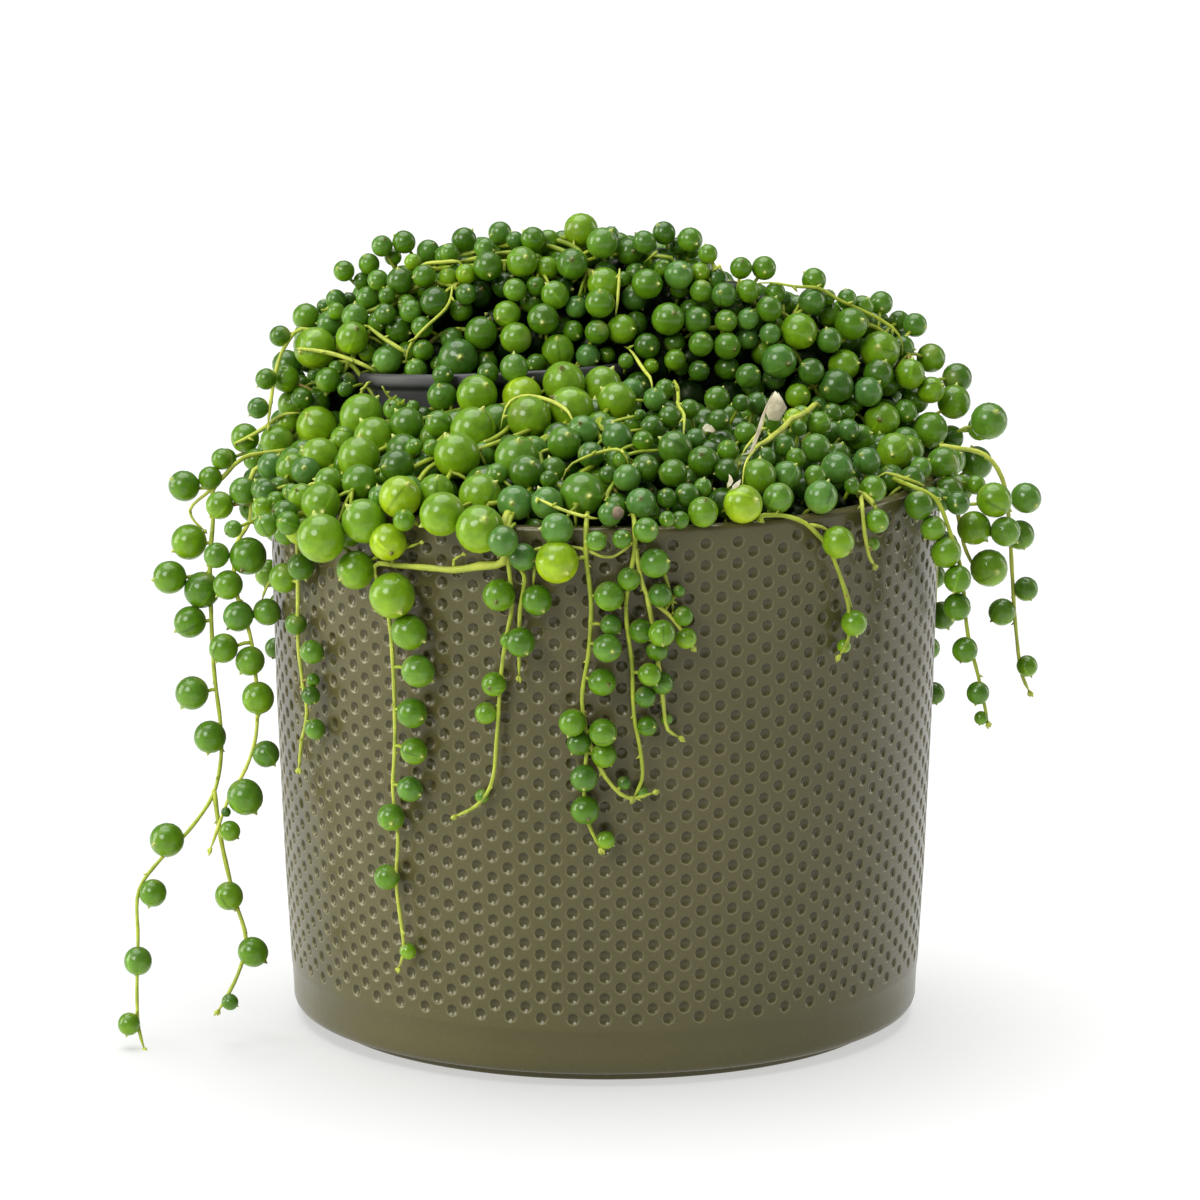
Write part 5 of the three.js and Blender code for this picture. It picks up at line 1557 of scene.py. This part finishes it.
def add_mat_pearls(stem_points):
    """The mat's pearls, each on a stalk from the nearest stem or, if that is far, from below."""
    for i in range(pearls.n):
        centre, radius = pearls.at[i], pearls.radius[i]
        facing = outward(centre)
        chance = np.array([mat_draw(), mat_draw(), mat_draw()]) - 0.5
        axis = unit(facing * 0.55 + chance * 2.0 + np.array([0, -0.25, 0.15]))
        mesh = bunches[bunch_at(centre)]
        in_view = i < SEEN_COUNT or centre[1] < 25
        fine = 0 if pearls.layer[i] else 2 if in_view else 1
        add_pearl(mesh, centre, radius, axis, pearls.look[i], fine, mat_draw)
        start = stem_points[int(np.argmin(((stem_points - centre) ** 2).sum(1)))]
        if np.linalg.norm(start - centre) >= radius + 9:
            start = centre - unit(facing + chance * 0.9) * (radius + 3.5)
        add_stalk(mesh, start, centre, radius, stem_look(mat_draw, 0.5), 0.4)


creeping = creeping_stems()
add_creeping_stems(creeping)
add_seen_stems()
add_mat_pearls(np.concatenate(creeping))


def oddities():
    """The dried husk, a pale flake, a green wisp and a shrivelled pearl that show on the mound."""
    flat = -FORWARD

    def blade(path, width, tone, depth=-1.2):
        """A dry blade that stands up from the first point of its path."""
        base = place_on_plant(*path[0], depth)
        line = [base] + [place_at_depth(u, v, base[1]) for u, v in path[1:]]
        add_blade(bunches[bunch_at(base)], line, width, flat, DRY, (tone, 0, 0))

    def husk(outline, look):
        """A thin crumpled sheet: outline is (u, v, and how far behind its first corner in mm)."""
        base = place_on_plant(*outline[0][:2], -1.0)
        front = np.array([place_at_depth(u, v, base[1] + back) for u, v, back in outline])
        middle = front.mean(axis=0) + [0.3, 1.1, 0.2]
        front = np.vstack([front, middle])
        n = len(outline)
        faces = []
        for k in range(n):
            j = (k + 1) % n
            faces += [(k, j, n), (j + n + 1, k + n + 1, 2 * n + 1), (j, k, k + n + 1, j + n + 1)]
        bunches[bunch_at(base)].add(np.vstack([front, front + [0, 0.2, 0]]), faces, DRY, look)

    husk([(769, 420, 0), (779, 421, -0.7), (787, 408, 0.5), (782, 398, -0.8), (775, 391, 0.4),
          (771, 398, -0.5), (765, 411, 0.6)], (0.93, 0, 0))
    blade([(741, 455), (750, 452), (757, 436), (765, 411), (773, 392)], 0.9, 0.75, 0.4)
    blade([(786, 410), (782, 402), (778, 392)], 0.8, 1)
    blade([(727, 488), (731, 481), (729, 474)], 1.1, 1)
    blade([(731, 490), (737, 485), (741, 479)], 1.2, 0.9)
    blade([(703, 432), (707, 428), (717, 433)], 1.9, 1, 2.0)
    front = NURSERY_RIM[1] - NURSERY_RADIUS - 1.5
    vine = [place_at_depth(u, v, front) for u, v in ((382, 386), (388, 396), (396, 401), (405, 405))]
    mesh = bunches["bunch_front_left"]
    add_tube(mesh, smooth_line(vine, 1.0), 0.22, STEM, (0.4, 0, 0.5), 5)
    for u, v in ((384, 391), (389, 392), (390, 400), (396, 396), (398, 405), (404, 400)):
        leaf = place_at_depth(u, v, front)
        start, _ = nearest_on(np.array(vine), leaf)
        line = [start, (start + leaf) / 2, leaf + (leaf - start) * 0.4]
        add_blade(mesh, line, 0.9, flat, STEM, (0.45, 0, 0.5), 0.3)
    spot = place_on_plant(617, 513, 1.6)
    add_pearl(mesh, spot, 1.6, np.array([0.8, -0.4, 0.3]), (0.1, 0, 0), 2, mat_draw, DRY)


oddities()
for bunch_name, bunch in bunches.items():
    bunch.build(f"{bunch_name}_fine", "plant", PLANT_MATERIALS, [bunch_name])

THATCH_RINGS = 26
THATCH_SIDES = 96
THATCH_RADIUS = 72.0
THATCH_BASE = 120.6
THATCH_LEAST = 122.5
THATCH_SUNK = 12.0
THATCH_REACH = 7
# Six ways round a place.
SIX_WAYS = np.arange(0, 6.2, 1.0472)


def thatch_top(x, y):
    """Height of the thatch: under the lowest part of the mound near by, with lumps."""
    around = [(x + THATCH_REACH * math.cos(t), y + THATCH_REACH * math.sin(t)) for t in SIX_WAYS]
    lump = 1.6 * math.sin(x * 0.9 + 2 * math.sin(y * 0.7)) * math.cos(y * 0.8)
    return max(min(mound_top(*spot) for spot in around + [(x, y)]) - THATCH_SUNK + lump, THATCH_LEAST)


def thatch_piece():
    """A dark lumpy body under the pearls, inside the rim, painted near black as the shade between them; only
    the very middle of its top is open.
    """
    mesh = Mesh()
    verts = []
    for i in range(1, THATCH_RINGS + 1):
        for a in spokes_of(THATCH_SIDES):
            x, y, _ = polar(THATCH_RADIUS * i / THATCH_RINGS, a, 0)
            verts.append((x, y, thatch_top(x, y)))
    low = len(verts)
    verts.extend(polar(THATCH_RADIUS, a, THATCH_BASE) for a in spokes_of(THATCH_SIDES))
    verts.append((0, 0, THATCH_BASE))
    edge = ring_numbers(low, 1, THATCH_SIDES)
    top = ring_numbers(0, THATCH_RINGS, THATCH_SIDES)
    mesh.add(verts, skin([[len(verts) - 1]] + edge + top[::-1])[0])
    return mesh.build("mat_thatch", "plant", [THATCH_PAINTED_SHADE])


thatch_piece()

# ---------------------------------------------------------------- the outer pot

COLUMNS = 128
ROW = 5.0
FIRST_CELL_TOP = 128.4
EVEN_ROWS = 23
DIMPLE_RADIUS = 1.5
DIMPLE_SIDES = 8
MIDDLE_RADIUS = 76.0
# Each ring of a dimple: share of its radius, share of its depth, the wall's slope there in degrees,
# the glaze's painted light there (painted shade below 0.5, a painted highlight above it), and how much paler
# its lower side and darker its upper side are painted, as if lit from above.
DIMPLE_RINGS = [(1.22, 0.0, 0, 0.5, 0.0), (1.0, 0.06, 16, 0.74, 0.24), (0.8, 0.5, 33, 0.18, 0.2)]
DIMPLE_CENTRE_PAINTED_SHADE = 0.2
DIMPLE_DEPTH = 0.7


# The eight points on the edge of a cell, in half columns and mm, from its lower left corner.
CELL_RIM = [(-1.0, -ROW / 2), (0, -ROW / 2), (1.0, -ROW / 2), (1.0, 0), (1.0, ROW / 2), (0, ROW / 2),
            (-1.0, ROW / 2), (-1.0, 0)]
CELLS_END = FIRST_CELL_TOP - ROW * EVEN_ROWS
# Radius and height of the smooth rings below the dimples, down to the foot and the middle of the
# base, and of those above them, round the rim and down inside to the middle of the floor.
BELOW_DIMPLES = [
    (outer_radius(12.6), 12.6), (outer_radius(12.3) - 0.12, 12.3), (outer_radius(8) - 0.12, 8.0),
    (73.2, 4.6), (72.9, 3.7), (72.4, 3.0), (71.8, 2.6), (FOOT_RADIUS + 0.6, 2.45), (FOOT_RADIUS, 2.2),
    (FOOT_RADIUS, 0.35), (FOOT_RADIUS - 0.4, 0.0), (FOOT_RADIUS - 5, 0.0), (0.0, 0.0)]
ABOVE_DIMPLES = [
    (78.0, 129.0), (77.9, 129.45), (77.65, 129.8), (77.25, 130.0), (75.4, 130.0), (74.9, 129.8),
    (74.55, 129.4), (74.4, 128.8), (73.7, 100.0), (73.2, 77.0), (71.4, 35.0), (70.2, 14.0),
    (69.4, 11.0), (66.0, 8.6), (60.0, 8.0), (0.0, 8.0)]


def pot_piece():
    """The outer pot, whose wall is a net of cells with a dimple in each."""
    mesh = Mesh()
    pitch = 2 * math.pi / COLUMNS
    verts, faces, keys, normals, painted_light_levels = [], [], {}, [], []

    def on_wall(turn_index, z, deep=0.0, slope=0.0, way=0.0, tone=0.5):
        """A place on the wall; turn_index counts half columns, way is the side of its dimple, tone its
        painted light.
        """
        key = (round(turn_index * 64) % (COLUMNS * 128), round(z * 1000), round(deep * 1000))
        if key not in keys:
            a = turn_index * pitch / 2
            r = outer_radius(z) - deep
            keys[key] = len(verts)
            verts.append(polar(r, a, z))
            painted_light_levels.append(tone)
            out = math.cos(math.radians(slope))
            aside = -math.sin(math.radians(slope)) * math.cos(way)
            normals.append((out * math.cos(a) - aside * math.sin(a), out * math.sin(a) + aside * math.cos(a),
                            -math.sin(math.radians(slope)) * math.sin(way) - 0.03 * out))
        return keys[key]

    def ring_points(column, z_middle, share, deep, slope, tone, painted_light_below):
        """The points of one ring of a dimple, which starts at its lower left; its upper side is painted
        darker and its lower side paler, as if lit from above.
        """
        out = []
        size = DIMPLE_RADIUS * share
        for k in range(DIMPLE_SIDES):
            a = (k - 3) * math.pi / 4
            across = size * math.cos(a) / (MIDDLE_RADIUS * pitch / 2)
            rise = math.sin(a)
            out.append(on_wall(2 * column + across, z_middle + size * rise, deep, slope, a,
                               tone - painted_light_below * rise))
        return out

    for column in range(COLUMNS):
        odd = column % 2
        top = FIRST_CELL_TOP - (ROW / 2 if odd else 0)
        rows = EVEN_ROWS - odd
        for row in range(rows):
            z = top - ROW * (row + 0.5)
            rim = [on_wall(2 * column + x, z + y) for x, y in CELL_RIM]
            rings = [rim] + [ring_points(column, z, share, deep * DIMPLE_DEPTH, slope, tone, painted_light_below)
                             for share, deep, slope, tone, painted_light_below in DIMPLE_RINGS]
            middle = on_wall(2 * column, z, DIMPLE_DEPTH, tone=DIMPLE_CENTRE_PAINTED_SHADE)
            faces += skin(rings + [[middle]])[0]
        if odd:
            for z0 in (CELLS_END, FIRST_CELL_TOP - ROW / 2):
                z1 = z0 + ROW / 2
                ring = [on_wall(2 * column + x, z) for x, z in (
                    (-1, z0), (0, z0), (1, z0), (1, z1), (0, z1), (-1, z1))]
                faces.append(tuple(ring))

    def rings_on(z_start, profile, down):
        """Smooth rings that go on from the wall's edge at a height."""
        rings = [[on_wall(k, z_start) for k in range(2 * COLUMNS)]]
        for r, z in profile:
            turns = spokes_of(2 * COLUMNS) if r else (0.0,)
            rings.append(list(range(len(verts), len(verts) + len(turns))))
            verts.extend(polar(r, a, z) for a in turns)
        faces.extend(skin(rings[::-1] if down else rings)[0])

    rings_on(CELLS_END, BELOW_DIMPLES, True)
    rings_on(FIRST_CELL_TOP, ABOVE_DIMPLES, False)
    painted_light_levels += [0.5] * (len(verts) - len(painted_light_levels))
    mesh.add(verts, faces, 0, np.array([painted_light_levels] * 3).T)
    made = mesh.build("cachepot_dimpled", "pot_glaze", [GLAZE], ["cachepot"]).data
    # A normal of zero leaves the smooth rings the normal that Blender works out.
    unset = [(0.0, 0.0, 0.0)] * (len(verts) - len(normals))
    made.normals_split_custom_set_from_vertices(normals + unset)


pot_piece()

# ---------------------------------------------------------------- the grower's pot and the soil

# Radius and height of its rings, from the middle of its base outside to the middle inside.
NURSERY_FINE = [
    (0, 0.6), (22.5, 0.6), (23.5, 0), (25.4, 0), (26.0, 0.7), (34.2, 57.8), (34.5, 58.6), (35.4, 58.9),
    (35.9, 59.4), (36.0, 60.0), (36.0, 61.3), (35.8, 61.8), (35.3, 62.0), (34.2, 62.0), (33.7, 61.8),
    (33.5, 61.2), (32.9, 57.0), (24.7, 2.4), (24.0, 1.4), (0, 1.3),
]
NURSERY_SIDES = 120


def nursery_piece():
    """The grower's pot, very slightly out of round."""
    mesh = Mesh()
    verts, rings = [], []
    for r, z in NURSERY_FINE:
        turns = spokes_of(NURSERY_SIDES) if r else (0.0,)
        rings.append(list(range(len(verts), len(verts) + len(turns))))
        for a in turns:
            bent = r * (1 + 0.006 * math.sin(2 * a + 0.6) * z / NURSERY_HEIGHT)
            verts.append(polar(bent, a, z))
    mesh.add(from_nursery(verts), skin(rings)[0])
    return mesh.build("nursery_pot_fine", "nursery_plastic", [PLASTIC], ["nursery_pot"])


nursery_piece()
for soil_name in ("soil_outer", "soil_nursery"):
    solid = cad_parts[soil_name]
    solid.data.materials.clear()
    solid.data.materials.append(SOIL)

# ---------------------------------------------------------------- floor, light and camera

def metres(place):
    """A place of this script, in metres."""
    return Vector([float(c) * MM for c in place])


WHITE = (1.0, 1.0, 1.0, 1.0)
HALF_FLOOR = 9
floor_mesh = bpy.data.meshes.new("floor")
floor_corners = [(x * HALF_FLOOR, y * HALF_FLOOR, 0) for x, y in ((-1, -1), (1, -1), (1, 1), (-1, 1))]
floor_mesh.from_pydata(floor_corners, [], [(0, 1, 2, 3)])
floor = bpy.data.objects.new("floor", floor_mesh)
bpy.context.collection.objects.link(floor)
floor_material, floor_tree, floor_shader = new_material("pale_floor")
pale = ramp(floor_tree, noise(floor_tree, 3.0), [(0.3, grey(0.52)), (0.7, grey(0.54))])
floor_tree.links.new(pale, floor_shader.inputs["Base Color"])
set_values(floor_shader, {"Roughness": 0.6, "Emission Color": WHITE, "Emission Strength": 0.54})
floor_mesh.materials.append(floor_material)


def aimed(name, data, way):
    """A light or camera object that looks along a way."""
    made = bpy.data.objects.new(name, data)
    bpy.context.collection.objects.link(made)
    made.rotation_mode = "QUATERNION"
    made.rotation_quaternion = Vector(way).to_track_quat("-Z", "Y")
    return made


def area_light(name, place, size, power, colour):
    """A rectangular light that looks at the middle of the pot."""
    data = bpy.data.lights.new(name, "AREA")
    data.shape = "RECTANGLE"
    data.size, data.size_y = size
    data.energy = power
    data.color = colour
    light = aimed(name, data, Vector(LIGHTS_AIM) - Vector(place))
    light.location = place
    return light


def sun_light(name, way, strength, spread):
    """A sun that shines along a way, spread over an angle in degrees."""
    data = bpy.data.lights.new(name, "SUN")
    data.energy = strength
    data.angle = math.radians(spread)
    return aimed(name, data, way)


LIGHTS_AIM = (0, 0, 0.08)
sun_light("top", (0.06, -0.2, -1.0), 2.7, 56)
# The floor stays out of the other lights, as a lit table does, so that it shows soft shade alone.
spared = bpy.data.collections.new("not_lit_from_the_side")
spared.objects.link(floor)
spared.collection_objects[0].light_linking.link_state = "EXCLUDE"
for side_light in (
        sun_light("key", (0.62, 0.36, -1.0), 0.75, 60),
        sun_light("spark", (0.50, 0.68, -0.54), 1.8, 28),
        area_light("left", (-1.5, 0.05, 0.5), (0.7, 1.1), 16, (1.0, 0.96, 0.86)),
        area_light("right", (1.4, 0.55, 0.45), (0.5, 1.1), 5.8, (1.0, 0.95, 0.84))):
    side_light.light_linking.receiver_collection = spared

# The camera sees a plain white world, and the object is lit by a dimmer one.
world = bpy.data.worlds.new("studio")
bpy.context.scene.world = world
world.use_nodes = True
sky = world.node_tree
shown = sky.nodes["Background"]
set_values(shown, {"Color": WHITE, "Strength": 1.0})
around = node(sky, "ShaderNodeBackground")
set_values(around, {"Color": WHITE, "Strength": 0.24})
path = node(sky, "ShaderNodeLightPath")
either = node(sky, "ShaderNodeMixShader")
sky.links.new(path.outputs["Is Camera Ray"], either.inputs[0])
sky.links.new(around.outputs[0], either.inputs[1])
sky.links.new(shown.outputs[0], either.inputs[2])
sky.links.new(either.outputs[0], sky.nodes["World Output"].inputs["Surface"])

SENSOR_WIDTH = 36.0
camera_data = bpy.data.cameras.new("camera")
camera_data.sensor_width = SENSOR_WIDTH
camera_data.lens = VIEW_FOCAL / VIEW_SIZE * SENSOR_WIDTH
camera_data.clip_start = 0.05
camera_data.clip_end = 40
camera = aimed("camera", camera_data, FORWARD.tolist())
camera.location = metres(EYE)
bpy.context.scene.camera = camera
settings = bpy.context.scene.view_settings
settings.view_transform = "Standard"
settings.look = "None"
